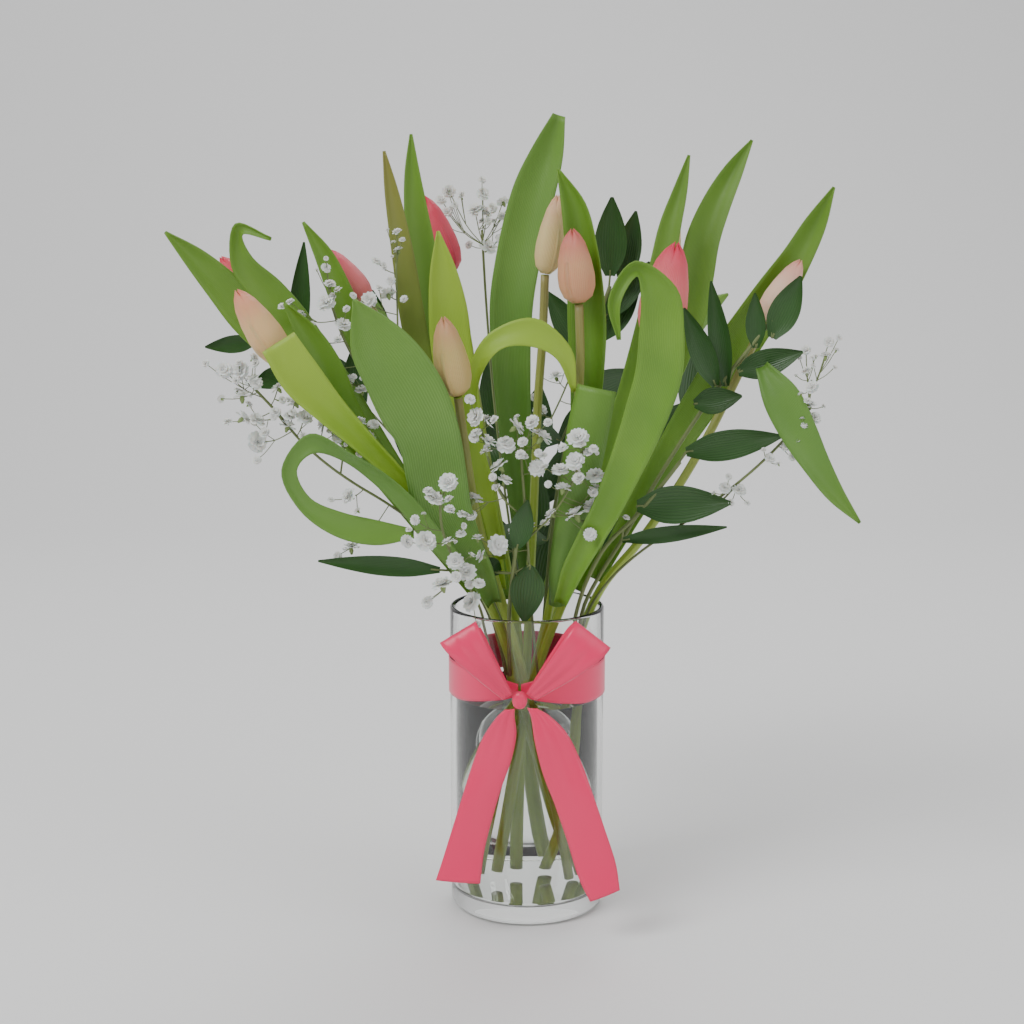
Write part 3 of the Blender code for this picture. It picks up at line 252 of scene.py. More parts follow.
# Gypsophila sprays: stems from the foot (each later one branches off the
# first), then the double florets as (column, row, depth, radius on the
# elevation).
SPRAYS = {
    "gypsophila_neck": dict(
        stems=[[(496, 676, -30), (488, 640, -31), (478, 603, -38), (454, 560, -60), (440, 520, -70), (440, 492, -74)]],
        florets=[
            (448, 482, -76, 9), (434, 499, -78, 9), (415, 520, -74, 5), (426, 541, -76, 10), (455, 561, -72, 8),
            (461, 534, -74, 5), (467, 572, -66, 9), (442, 585, -72, 10), (472, 602, -60, 10),
        ],
    ),
    "gypsophila_centre": dict(
        stems=[
            [(538, 676, -30), (533, 630, -32), (530, 580, -42), (526, 520, -50), (522, 468, -56), (520, 440, -58)],
            [(528, 540, -46), (556, 510, -54), (578, 470, -60), (584, 448, -62)],
            [(526, 520, -50), (504, 500, -56), (488, 460, -60), (482, 430, -62)],
        ],
        florets=[
            (476, 417, -64, 9), (488, 441, -64, 8), (506, 445, -62, 9), (516, 427, -60, 9), (542, 437, -60, 10),
            (532, 422, -62, 7), (578, 438, -63, 10), (588, 452, -64, 5), (499, 466, -63, 9), (537, 468, -60, 8),
            (560, 470, -62, 8), (575, 461, -66, 9), (595, 476, -64, 9), (563, 488, -62, 8), (505, 480, -64, 7),
            (474, 499, -66, 9), (576, 514, -62, 11), (592, 506, -66, 9), (614, 503, -66, 9), (527, 523, -58, 8),
            (498, 545, -58, 10), (602, 521, -62, 5),
        ],
    ),
    "gypsophila_right": dict(
        stems=[
            [(578, 676, -8), (588, 612, -10), (630, 560, -22), (700, 512, -38), (762, 462, -46), (806, 412, -50), (812, 380, -50)],
            [(700, 512, -38), (722, 500, -42), (732, 490, -44)],
        ],
        florets=[
            (829, 342, -50, 5), (826, 356, -50, 6), (806, 350, -50, 5), (806, 371, -50, 5), (812, 387, -52, 6.5),
            (810, 405, -54, 6), (815, 418, -52, 6), (725, 488, -46, 6), (739, 490, -44, 7), (770, 458, -50, 5), (787, 446, -52, 6),
        ],
    ),
    "gypsophila_left": dict(
        stems=[
            [(516, 676, -10), (500, 616, -12), (460, 560, -20), (400, 512, -36), (340, 474, -48), (300, 440, -54), (270, 404, -58), (252, 386, -60)],
            [(340, 474, -48), (346, 440, -54), (352, 418, -56)],
        ],
        florets=[
            (224, 370, -60, 8), (240, 371, -60, 9), (253, 380, -62, 8), (242, 396, -62, 9), (278, 388, -58, 7),
            (243, 418, -60, 8), (257, 420, -62, 8), (257, 442, -60, 10), (295, 402, -58, 8), (304, 418, -60, 8),
            (288, 426, -60, 8), (324, 424, -56, 8), (338, 437, -58, 6), (366, 438, -58, 9), (358, 422, -58, 8),
            (349, 496, -56, 8), (351, 548, -58, 8),
        ],
    ),
    "gypsophila_inner": dict(
        stems=[
            [(518, 676, 0), (498, 612, -1), (452, 520, -4), (400, 440, -8), (360, 370, -12), (340, 330, -14), (330, 300, -14)],
            [(400, 440, -8), (398, 340, -10), (396, 262, -8)],
        ],
        florets=[
            (298, 316, -18, 8), (312, 338, -18, 7), (326, 303, -18, 9), (330, 284, -16, 6), (326, 268, -16, 5),
            (343, 325, -16, 8), (326, 363, -18, 8), (348, 383, -16, 9), (362, 390, -16, 7), (369, 300, -14, 8),
            (388, 294, -12, 8), (376, 261, -10, 5), (397, 232, -8, 5), (398, 250, -8, 5),
        ],
    ),
    "gypsophila_back": dict(
        stems=[
            [(519, 588, 40), (506, 500, 58), (494, 400, 70), (486, 300, 78), (482, 230, 82)],
            [(506, 500, 58), (540, 440, 96), (560, 400, 124), (572, 372, 136)],
            [(506, 500, 58), (474, 446, 100), (462, 420, 124), (452, 400, 136)],
        ],
        florets=[
            (449, 191, 84, 7), (441, 200, 84, 6), (483, 194, 82, 7), (475, 210, 80, 9), (487, 212, 84, 6),
            (503, 202, 86, 7), (502, 216, 84, 5), (447, 212, 82, 6), (488, 247, 82, 9), (500, 238, 84, 5),
            (572, 352, 140, 9), (590, 376, 138, 8), (556, 376, 132, 8), (580, 402, 136, 9), (540, 410, 122, 8),
            (448, 382, 140, 9), (434, 404, 138, 8), (466, 398, 132, 8), (458, 432, 134, 9), (484, 420, 120, 8),
        ],
    ),
}

# What lies in front of what.
ORDER = [
    "gypsophila_neck", "leaf_loop_left", "leaf_front_left", "leaf_front_right", "ruscus_front",
    "gypsophila_centre", "tulip_05", "leaf_right_hanging", "ruscus_right_low", "ruscus_right",
    "gypsophila_right", "leaf_wrap", "tulip_01", "gypsophila_left", "leaf_panel", "leaf_arch",
    "leaf_left_inner", "gypsophila_inner", "tulip_09", "tulip_07", "leaf_keeled", "leaf_behind_bud",
    "tulip_06", "leaf_olive", "leaf_hooked", "tulip_10", "leaf_left_long", "leaf_top_left",
    "leaf_right_tall", "leaf_left_top", "ruscus_left", "tulip_03", "tulip_02", "leaf_top_right_low",
    "tulip_08", "leaf_top_centre", "leaf_top_right", "tulip_04", "ruscus_back", "gypsophila_back",
    "leaf_back_left", "leaf_back_right",
]


# ---------------------------------------------------------------- elevation
def sight(column, row):
    a, b = (column - MID) / REACH, (MID - row) / REACH
    return np.array((a, math.cos(PITCH) + b * math.sin(PITCH), b * math.cos(PITCH) - math.sin(PITCH)))


def at(place):
    ray = sight(place[0], place[1])
    return EYE + ray * ((place[2] - EYE[1]) / ray[1])


def on_elevation(points):
    d = points - EYE
    reach = d[:, 1] * math.cos(PITCH) - d[:, 2] * math.sin(PITCH)
    rise = d[:, 1] * math.sin(PITCH) + d[:, 2] * math.cos(PITCH)
    return MID + REACH * d[:, 0] / reach, MID - REACH * rise / reach


def set_back(points, by):
    """Each point moved along its line of sight until it is `by` mm further back."""
    by = np.broadcast_to(np.asarray(by, float), points.shape[:-1])
    d = points - EYE
    return EYE + d * (1 + by / d[..., 1])[..., None]


# ------------------------------------------------------------------- curves
def unit(v):
    return v / np.maximum(np.linalg.norm(v, axis=-1, keepdims=True), 1e-12)


def spline(values, count, keys=None):
    """Catmull-Rom through the rows of `values`, read at `count` even steps of length. `keys` ride along."""
    values = np.asarray(values, float)
    n = len(values)
    ends = np.vstack([2 * values[0] - values[1], values, 2 * values[-1] - values[-2]])
    t = np.linspace(0, n - 1, 24 * (n - 1) + 1)
    i = np.minimum(t.astype(int), n - 2)
    f = (t - i)[:, None]
    p0, p1, p2, p3 = ends[i], ends[i + 1], ends[i + 2], ends[i + 3]
    curve = 0.5 * (2 * p1 + (p2 - p0) * f + (2 * p0 - 5 * p1 + 4 * p2 - p3) * f**2 + (3 * p1 - p0 - 3 * p2 + p3) * f**3)
    run = np.concatenate([[0], np.cumsum(np.linalg.norm(np.diff(curve[:, :3], axis=0), axis=1))])
    want = np.linspace(0, run[-1], count)
    out = np.stack([np.interp(want, run, curve[:, k]) for k in range(curve.shape[1])], 1)
    if keys is None:
        return out
    where = np.interp(want, run, t)
    return out, [np.interp(where, np.arange(n), key) for key in keys]


def stations_for(points, step):
    return max(4, int(round(np.linalg.norm(np.diff(points, axis=0), axis=1).sum() / step)) + 1)


# ------------------------------------------------------------------- sheets
def blade(spine, wide, cup, roll, across):
    """Rows of points across a leaf, cupped by `cup`."""
    tangent = unit(np.gradient(spine, axis=0))
    side = unit(np.cross(tangent, spine - EYE))
    out = np.cross(side, tangent)
    a = np.radians(roll)[:, None]
    side, out = side * np.cos(a) + out * np.sin(a), out * np.cos(a) - side * np.sin(a)
    toward = np.sign((out * (EYE - spine)).sum(1))
    out = out * np.where(toward == 0, 1, toward)[:, None]
    q = np.linspace(-1, 1, across)
    lift = np.minimum(cup, 0.42 * wide) if cup > 0 else np.maximum(cup, -0.42 * wide)
    grid = spine[:, None] + side[:, None] * (wide[:, None] / 2 * q)[..., None]
    return grid + out[:, None] * (lift[:, None] * (np.abs(q) ** 1.6 - 0.5))[..., None]


def leaf_sheet(spec, step=24.0, across=3):
    points = np.array([at(p) for p in spec["at"]])
    spine, (wide, roll) = spline(points, stations_for(points, step), [spec["wide"], spec["roll"]])
    return blade(spine, wide, spec["cup"], roll, across)


def small_leaf_sheet(base, tip, wide, cup, count=5, across=3):
    a, b = at(base), at(tip)
    t = np.linspace(0, 1, count)[:, None]
    spine = a + (b - a) * t
    width = wide * np.array([0.30, 0.92, 1.0, 0.66, 0.09]) if count == 5 else wide * np.sin(np.pi * np.clip(t[:, 0], 0.04, 0.97)) ** 0.7
    return blade(spine, width, cup, np.zeros(count), across)


# ----------------------------------------------------------------- settling
behind = np.full((1024, 1024), -1e9)


def sheet_cloud(grid, half=LEAF_T / 2):
    rows, columns = grid.shape[:2]
    k = 9
    f = (np.arange(k) + 0.5) / k
    points, station = [], []
    for i in range(rows - 1):
        for j in range(columns - 1):
            a, b, c, d = grid[i, j], grid[i, j + 1], grid[i + 1, j], grid[i + 1, j + 1]
            u, v = np.meshgrid(np.linspace(0, 1, k + 1), np.linspace(0, 1, k + 1), indexing="ij")
            u, v = u[..., None], v[..., None]
            points.append((a * (1 - u) * (1 - v) + b * (1 - u) * v + c * u * (1 - v) + d * u * v).reshape(-1, 3))
            station.append((i + u[..., 0]).repeat(1).reshape(-1))
    points, station = np.concatenate(points), np.concatenate(station)
    return points, np.full(len(points), half), station


def tube_cloud(path, radii):
    radii = np.broadcast_to(np.asarray(radii, float), len(path))
    points, half, station = [], [], []
    for i in range(len(path) - 1):
        k = max(2, int(np.linalg.norm(path[i + 1] - path[i])) + 1)
        for f in np.linspace(0, 1, k):
            centre, r = path[i] * (1 - f) + path[i + 1] * f, radii[i] * (1 - f) + radii[i + 1] * f
            across = unit(np.cross(path[i + 1] - path[i], centre - EYE))
            for q in (-1, -0.75, -0.5, -0.25, 0, 0.25, 0.5, 0.75, 1):
                points.append(centre + across * r * q)
                half.append(r * math.sqrt(max(0.06, 1 - q * q)))
                station.append(i + f)
    return np.array(points), np.array(half), np.array(station)


def needs(cloud, count):
    points, half, station = cloud
    column, row = on_elevation(points)
    column = np.clip(column.round().astype(int), 0, 1023)
    row = np.clip(row.round().astype(int), 0, 1023)
    need = behind[row, column] + GAP + half - points[:, 1]
    out = np.zeros(count)
    for side in (np.floor(station).astype(int), np.ceil(station).astype(int)):
        np.maximum.at(out, np.clip(side, 0, count - 1), need)
    return out


def eased(need, path, pinned=False):
    """The least push at each station that clears every need without a sudden step."""
    run = np.concatenate([[0], np.cumsum(np.linalg.norm(np.diff(path, axis=0), axis=1))])
    push = (need[None, :] - SLOPE * np.abs(run[:, None] - run[None, :])).max(1)
    for _ in range(3):
        spread = push.copy()
        spread[1:-1] = (push[:-2] + 2 * push[1:-1] + push[2:]) / 4
        push = np.maximum(spread, need)
    if pinned:
        push[0] = 0
    return np.maximum(push, 0)


def remember(clouds):
    layer = np.full((1024, 1024), -1e9)
    for points, half, _ in clouds:
        column, row = on_elevation(points)
        column = np.clip(column.round().astype(int), 4, 1019)
        row = np.clip(row.round().astype(int), 4, 1019)
        np.maximum.at(layer, (row, column), points[:, 1] + half)
    wide = layer.copy()
    for dc in (-2, -1, 0, 1, 2):
        for dr in (-2, -1, 0, 1, 2):
            if dc * dc + dr * dr <= 5:
                wide = np.maximum(wide, np.roll(np.roll(layer, dr, 0), dc, 1))
    np.maximum(behind, wide, out=behind)


def settle_sheet(grid):
    spine = grid[:, grid.shape[1] // 2]
    for _ in range(2):
        push = eased(needs(sheet_cloud(grid), len(grid)), spine)
        grid = set_back(grid, push[:, None])
    return grid


def settle_tube(path, radii, pinned=False, end=None):
    """`end` is a cloud that rides on the last station."""
    for _ in range(2):
        need = needs(tube_cloud(path, radii), len(path))
        if end is not None:
            carried = needs((end[0], end[1], np.zeros(len(end[0]))), 1)[0]
            need[-1] = max(need[-1], carried)
        push = eased(need, path, pinned)
        path = set_back(path, push)
        if end is not None:
            end = (set_back(end[0], push[-1]), end[1])
    return path



BUD = [(0.10, 1.00), (0.38, 0.93), (0.66, 0.80), (0.88, 0.60), (1.00, 0.38), (0.97, 0.22), (0.76, 0.08), (0.34, 0.0)]


def bud_cloud(base, tip, wide):
    heights = np.linspace(0.02, 1, 22)
    shape = np.array(BUD[::-1])
    path = base + (tip - base) * heights[:, None]
    points, half, _ = tube_cloud(path, np.interp(heights, shape[:, 1], shape[:, 0]) * wide / 2)
    return points, half


def spray_plan(spec):
    """The stems of a spray, each as a smoothed path."""
    stems = []
    for k, places in enumerate(spec["stems"]):
        points = np.array([at(p) for p in places])
        stems.append(spline(points, stations_for(points, 22)))
    return stems


def branch_point(stems, target, back=10.0):
    """Where a stalk for `target` leaves the stems: the nearest place, a little nearer the root."""
    best = None
    for path in stems:
        seg = np.linalg.norm(np.diff(path, axis=0), axis=1)
        run = np.concatenate([[0], np.cumsum(seg)])
        s = np.linspace(run[-1] * 0.25, run[-1], 60)
        places = np.stack([np.interp(s, run, path[:, k]) for k in range(3)], 1)
        away = np.linalg.norm(places - target, axis=1)
        k = int(np.argmin(away))
        s0 = max(s[k] - min(back, 0.6 * away[k]), run[-1] * 0.2)
        if best is None or away[k] < best[0]:
            best = (away[k], np.array([np.interp(s0, run, path[:, c]) for c in range(3)]))
    return best[1]



# ---------------------------------------------------------------- materials
def shader(name, colour, rough=0.5, **more):
    m = bpy.data.materials.new(name)
    m.use_nodes = True
    p = m.node_tree.nodes["Principled BSDF"]
    p.inputs["Base Color"].default_value = (*colour, 1)
    p.inputs["Roughness"].default_value = rough
    for key, value in more.items():
        p.inputs[key.replace("_", " ")].default_value = value
    return m, m.node_tree, p


def veined(name, base, edge, tip, lines=26.0, rough=0.42, contrast=0.22, sub=0.0, noise_scale=22.0):
    """UV x runs across a leaf or petal and y along it."""
    m, t, p = shader(name, base, rough)
    n, l = t.nodes, t.links
    uv = n.new("ShaderNodeUVMap")
    sep = n.new("ShaderNodeSeparateXYZ"); l.new(uv.outputs[0], sep.inputs[0])
    obj = n.new("ShaderNodeTexCoord")
    noise = n.new("ShaderNodeTexNoise"); noise.inputs["Scale"].default_value = noise_scale
    l.new(obj.outputs["Object"], noise.inputs["Vector"])
    wob = n.new("ShaderNodeMath"); wob.operation = "MULTIPLY_ADD"; wob.inputs[1].default_value = 0.10
    l.new(noise.outputs["Fac"], wob.inputs[0]); l.new(sep.outputs[0], wob.inputs[2])
    freq = n.new("ShaderNodeMath"); freq.operation = "MULTIPLY"; freq.inputs[1].default_value = lines * 6.283
    l.new(wob.outputs[0], freq.inputs[0])
    sine = n.new("ShaderNodeMath"); sine.operation = "SINE"; l.new(freq.outputs[0], sine.inputs[0])
    half = n.new("ShaderNodeMath"); half.operation = "MULTIPLY_ADD"; half.inputs[1].default_value = contrast; half.inputs[2].default_value = 0.5
    l.new(sine.outputs[0], half.inputs[0])
    mix = n.new("ShaderNodeMix"); mix.data_type = "RGBA"
    mix.inputs["A"].default_value = (*base, 1); mix.inputs["B"].default_value = (*edge, 1)
    add = n.new("ShaderNodeMath"); add.operation = "MULTIPLY"; l.new(half.outputs[0], add.inputs[0])
    l.new(noise.outputs["Fac"], add.inputs[1])
    two = n.new("ShaderNodeMath"); two.operation = "MULTIPLY"; two.inputs[1].default_value = 2.0; l.new(add.outputs[0], two.inputs[0])
    l.new(two.outputs[0], mix.inputs["Factor"])
    grad = n.new("ShaderNodeMapRange"); grad.inputs["From Min"].default_value = 0.55; grad.inputs["From Max"].default_value = 1.0
    l.new(sep.outputs[1], grad.inputs["Value"])
    mix2 = n.new("ShaderNodeMix"); mix2.data_type = "RGBA"; mix2.inputs["B"].default_value = (*tip, 1)
    l.new(grad.outputs[0], mix2.inputs["Factor"]); l.new(mix.outputs["Result"], mix2.inputs["A"])
    l.new(mix2.outputs["Result"], p.inputs["Base Color"])
    bump = n.new("ShaderNodeBump"); bump.inputs["Strength"].default_value = 0.25; bump.inputs["Distance"].default_value = 0.0004
    l.new(sine.outputs[0], bump.inputs["Height"]); l.new(bump.outputs[0], p.inputs["Normal"])
    if sub:
        p.inputs["Subsurface Weight"].default_value = sub
        p.inputs["Subsurface Radius"].default_value = (0.004, 0.002, 0.001)
    return m


GREENS = {
    "mid": veined("leaf_mid", (0.085, 0.22, 0.012), (0.20, 0.38, 0.04), (0.13, 0.27, 0.02)),
    "lime": veined("leaf_lime", (0.20, 0.38, 0.015), (0.36, 0.53, 0.05), (0.31, 0.46, 0.04)),
    "olive": veined("leaf_olive", (0.10, 0.17, 0.012), (0.20, 0.28, 0.04), (0.22, 0.21, 0.04)),
    "blue": veined("leaf_blue", (0.075, 0.20, 0.018), (0.17, 0.33, 0.06), (0.14, 0.29, 0.035)),
}
RUSCUS_MAT = veined("ruscus_leaf", (0.012, 0.055, 0.008), (0.04, 0.12, 0.02), (0.025, 0.08, 0.012), 12, 0.36, 0.15)
STEM_MAT = veined("stem", (0.26, 0.40, 0.03), (0.40, 0.54, 0.08), (0.27, 0.24, 0.08), 8, 0.4, 0.12)
TWIG = shader("twig", (0.16, 0.20, 0.07), 0.55)[0]
PETAL_MATS = {
    "01": veined("petal_01", (0.68, 0.55, 0.22), (0.76, 0.42, 0.22), (0.74, 0.25, 0.17), 22, 0.45, 0.2, 0.25),
    "02": veined("petal_02", (0.80, 0.20, 0.16), (0.80, 0.08, 0.11), (0.70, 0.03, 0.08), 22, 0.45, 0.2, 0.25),
    "03": veined("petal_03", (0.82, 0.30, 0.26), (0.80, 0.12, 0.17), (0.70, 0.05, 0.11), 22, 0.45, 0.2, 0.25),
    "04": veined("petal_04", (0.80, 0.12, 0.15), (0.74, 0.04, 0.11), (0.66, 0.02, 0.07), 22, 0.45, 0.2, 0.25),
    "05": veined("petal_05", (0.48, 0.42, 0.13), (0.58, 0.36, 0.16), (0.54, 0.26, 0.14), 22, 0.45, 0.2, 0.25),
    "06": veined("petal_06", (0.66, 0.58, 0.24), (0.74, 0.50, 0.26), (0.74, 0.42, 0.26), 22, 0.45, 0.2, 0.25),
    "07": veined("petal_07", (0.62, 0.40, 0.18), (0.70, 0.24, 0.17), (0.62, 0.13, 0.12), 22, 0.45, 0.2, 0.25),
    "08": veined("petal_08", (0.86, 0.72, 0.40), (0.84, 0.62, 0.36), (0.80, 0.50, 0.34), 22, 0.45, 0.2, 0.25),
    "09": veined("petal_09", (0.84, 0.24, 0.22), (0.82, 0.08, 0.14), (0.70, 0.02, 0.08), 22, 0.45, 0.2, 0.25),
    "10": veined("petal_10", (0.86, 0.68, 0.48), (0.84, 0.48, 0.36), (0.78, 0.34, 0.28), 22, 0.45, 0.2, 0.25),
}
FLORET = shader("floret", (0.90, 0.90, 0.86), 0.7, Subsurface_Weight=0.2)[0]
CALYX = shader("calyx", (0.22, 0.30, 0.10), 0.6)[0]
GLASS = shader("vase_glass", (0.985, 0.995, 0.99), 0.015, Transmission_Weight=1.0, IOR=1.48)[0]
WATER = shader("vase_water", (0.95, 0.975, 0.95), 0.01, Transmission_Weight=1.0, IOR=1.33)[0]
SATIN = shader("satin", (0.92, 0.022, 0.125), 0.33, Sheen_Weight=0.2, Anisotropic=0.5)[0]


# -------------------------------------------------------------------- meshes
class Build:
    def __init__(self):
        self.v, self.f, self.uv, self.m = [], [], [], []

    def grid(self, g, mat=0, wrap=False):
        """g: rows x columns x 3, mm; UV x across, y along."""
        rows, cols = g.shape[:2]
        o = len(self.v)
        self.v += [tuple(p) for p in (g.reshape(-1, 3) * MM)]
        for i in range(rows - 1):
            for j in range(cols if wrap else cols - 1):
                k = (j + 1) % cols
                self.f.append((o + i * cols + j, o + i * cols + k, o + (i + 1) * cols + k, o + (i + 1) * cols + j))
                w = cols if wrap else cols - 1
                self.uv += [(j / w, i / (rows - 1)), ((j + 1) / w, i / (rows - 1)), ((j + 1) / w, (i + 1) / (rows - 1)), (j / w, (i + 1) / (rows - 1))]
                self.m.append(mat)
        return o

    def cap(self, start, count, mat=0, flip=False):
        ring = list(range(start, start + count))
        self.f.append(tuple(ring[::-1] if flip else ring))
        self.uv += [(0.5, 0.0)] * count
        self.m.append(mat)

    def tube(self, path, radii, sides=12, mat=0):
        path = np.asarray(path, float)
        radii = np.broadcast_to(np.asarray(radii, float), len(path))
        t = unit(np.gradient(path, axis=0))
        ref = np.array((0.0, 1.0, 0.0)) if abs(t[0][1]) < 0.9 else np.array((1.0, 0, 0))
        x = unit(np.cross(t, ref)); y = np.cross(t, x)
        a = np.linspace(0, 2 * np.pi, sides, endpoint=False)
        g = path[:, None] + radii[:, None, None] * (x[:, None] * np.cos(a)[None, :, None] + y[:, None] * np.sin(a)[None, :, None])
        o = self.grid(g, mat, True)
        self.cap(o, sides, mat, True)
        self.cap(o + sides * (len(path) - 1), sides, mat)

    def done(self, name, mats, thick=0.0, node=None):
        d = bpy.data.meshes.new(name)
        d.from_pydata(self.v, [], self.f)
        layer = d.uv_layers.new(name="UVMap")
        layer.data.foreach_set("uv", np.array(self.uv, np.float32).reshape(-1))
        for m in mats:
            d.materials.append(m)
        d.polygons.foreach_set("material_index", self.m)
        d.polygons.foreach_set("use_smooth", [True] * len(self.f))
        d.update()
        o = bpy.data.objects.new(name, d)
        bpy.context.scene.collection.objects.link(o)
        if thick:
            s = o.modifiers.new("thickness", "SOLIDIFY"); s.thickness = thick * MM; s.offset = 0
        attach(o, "root")
        if node:
            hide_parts(node)
        return o


def finer(path, k=5):
    return spline(path, (len(path) - 1) * k + 1)


def finer_grid(g, along=6, across=4):
    cols = [finer_along(g[:, j], along) for j in range(g.shape[1])]
    a, b, c = cols
    q = np.linspace(-1, 1, 2 * across + 1)[None, :, None]
    return a[:, None] * (q * (q - 1) / 2) + b[:, None] * (1 - q * q) + c[:, None] * (q * (q + 1) / 2)


def finer_along(v, k):
    n = len(v)
    ends = np.vstack([2 * v[0] - v[1], v, 2 * v[-1] - v[-2]])
    t = np.linspace(0, n - 1, k * (n - 1) + 1)
    i = np.minimum(t.astype(int), n - 2); f = (t - i)[:, None]
    p0, p1, p2, p3 = ends[i], ends[i + 1], ends[i + 2], ends[i + 3]
    return 0.5 * (2 * p1 + (p2 - p0) * f + (2 * p0 - 5 * p1 + 4 * p2 - p3) * f**2 + (3 * p1 - p0 - 3 * p2 + p3) * f**3)


TONE = {
    "leaf_wrap": "lime", "leaf_behind_bud": "lime", "leaf_olive": "olive", "leaf_panel": "blue", "leaf_front_left": "blue",
    "leaf_left_long": "mid", "leaf_top_centre": "blue", "leaf_right_hanging": "blue", "leaf_loop_left": "blue", "leaf_arch": "lime",
    "leaf_back_left": "blue", "leaf_front_right": "mid", "leaf_keeled": "mid", "leaf_hooked": "mid", "leaf_right_tall": "mid",
}


def floret(b, centre, radius, rng):
    """A double gypsophila flower: rings of small notched petals round the middle."""
    up = unit(np.array((rng.uniform(-0.5, 0.5), rng.uniform(-1.0, 0.2), rng.uniform(0.1, 1.0))))
    x = unit(np.cross(up, (0.3, 0.9, 0.1))); y = np.cross(up, x)
    for ring, (count, tilt, reach) in enumerate(((8, 0.05, 1.0), (7, 0.55, 0.9), (6, 1.0, 0.72), (4, 1.4, 0.5))):
        for k in range(count):
            a = 2 * math.pi * (k + 0.5 * ring) / count + rng.uniform(-0.2, 0.2)
            el = tilt + rng.uniform(-0.15, 0.15)
            d = (x * math.cos(a) + y * math.sin(a)) * math.cos(el) + up * math.sin(el)
            s = unit(np.cross(d, up + 0.01))
            n = np.cross(s, d)
            rows = []
            for t, w in ((0.05, 0.06), (0.45, 0.30), (0.80, 0.38), (1.0, 0.26)):
                p = centre + d * radius * reach * t - n * radius * 0.16 * t * t
                notch = -0.10 if t == 1.0 else 0.0
                rows.append([p - s * w * radius + n * 0.10 * radius * t, p + d * notch * radius, p + s * w * radius + n * 0.10 * radius * t])
            b.grid(np.array(rows), 1)
    b.tube(np.array([centre - up * radius * 0.75, centre - up * radius * 0.35, centre]), [radius * 0.10, radius * 0.26, radius * 0.18], 6, 2)


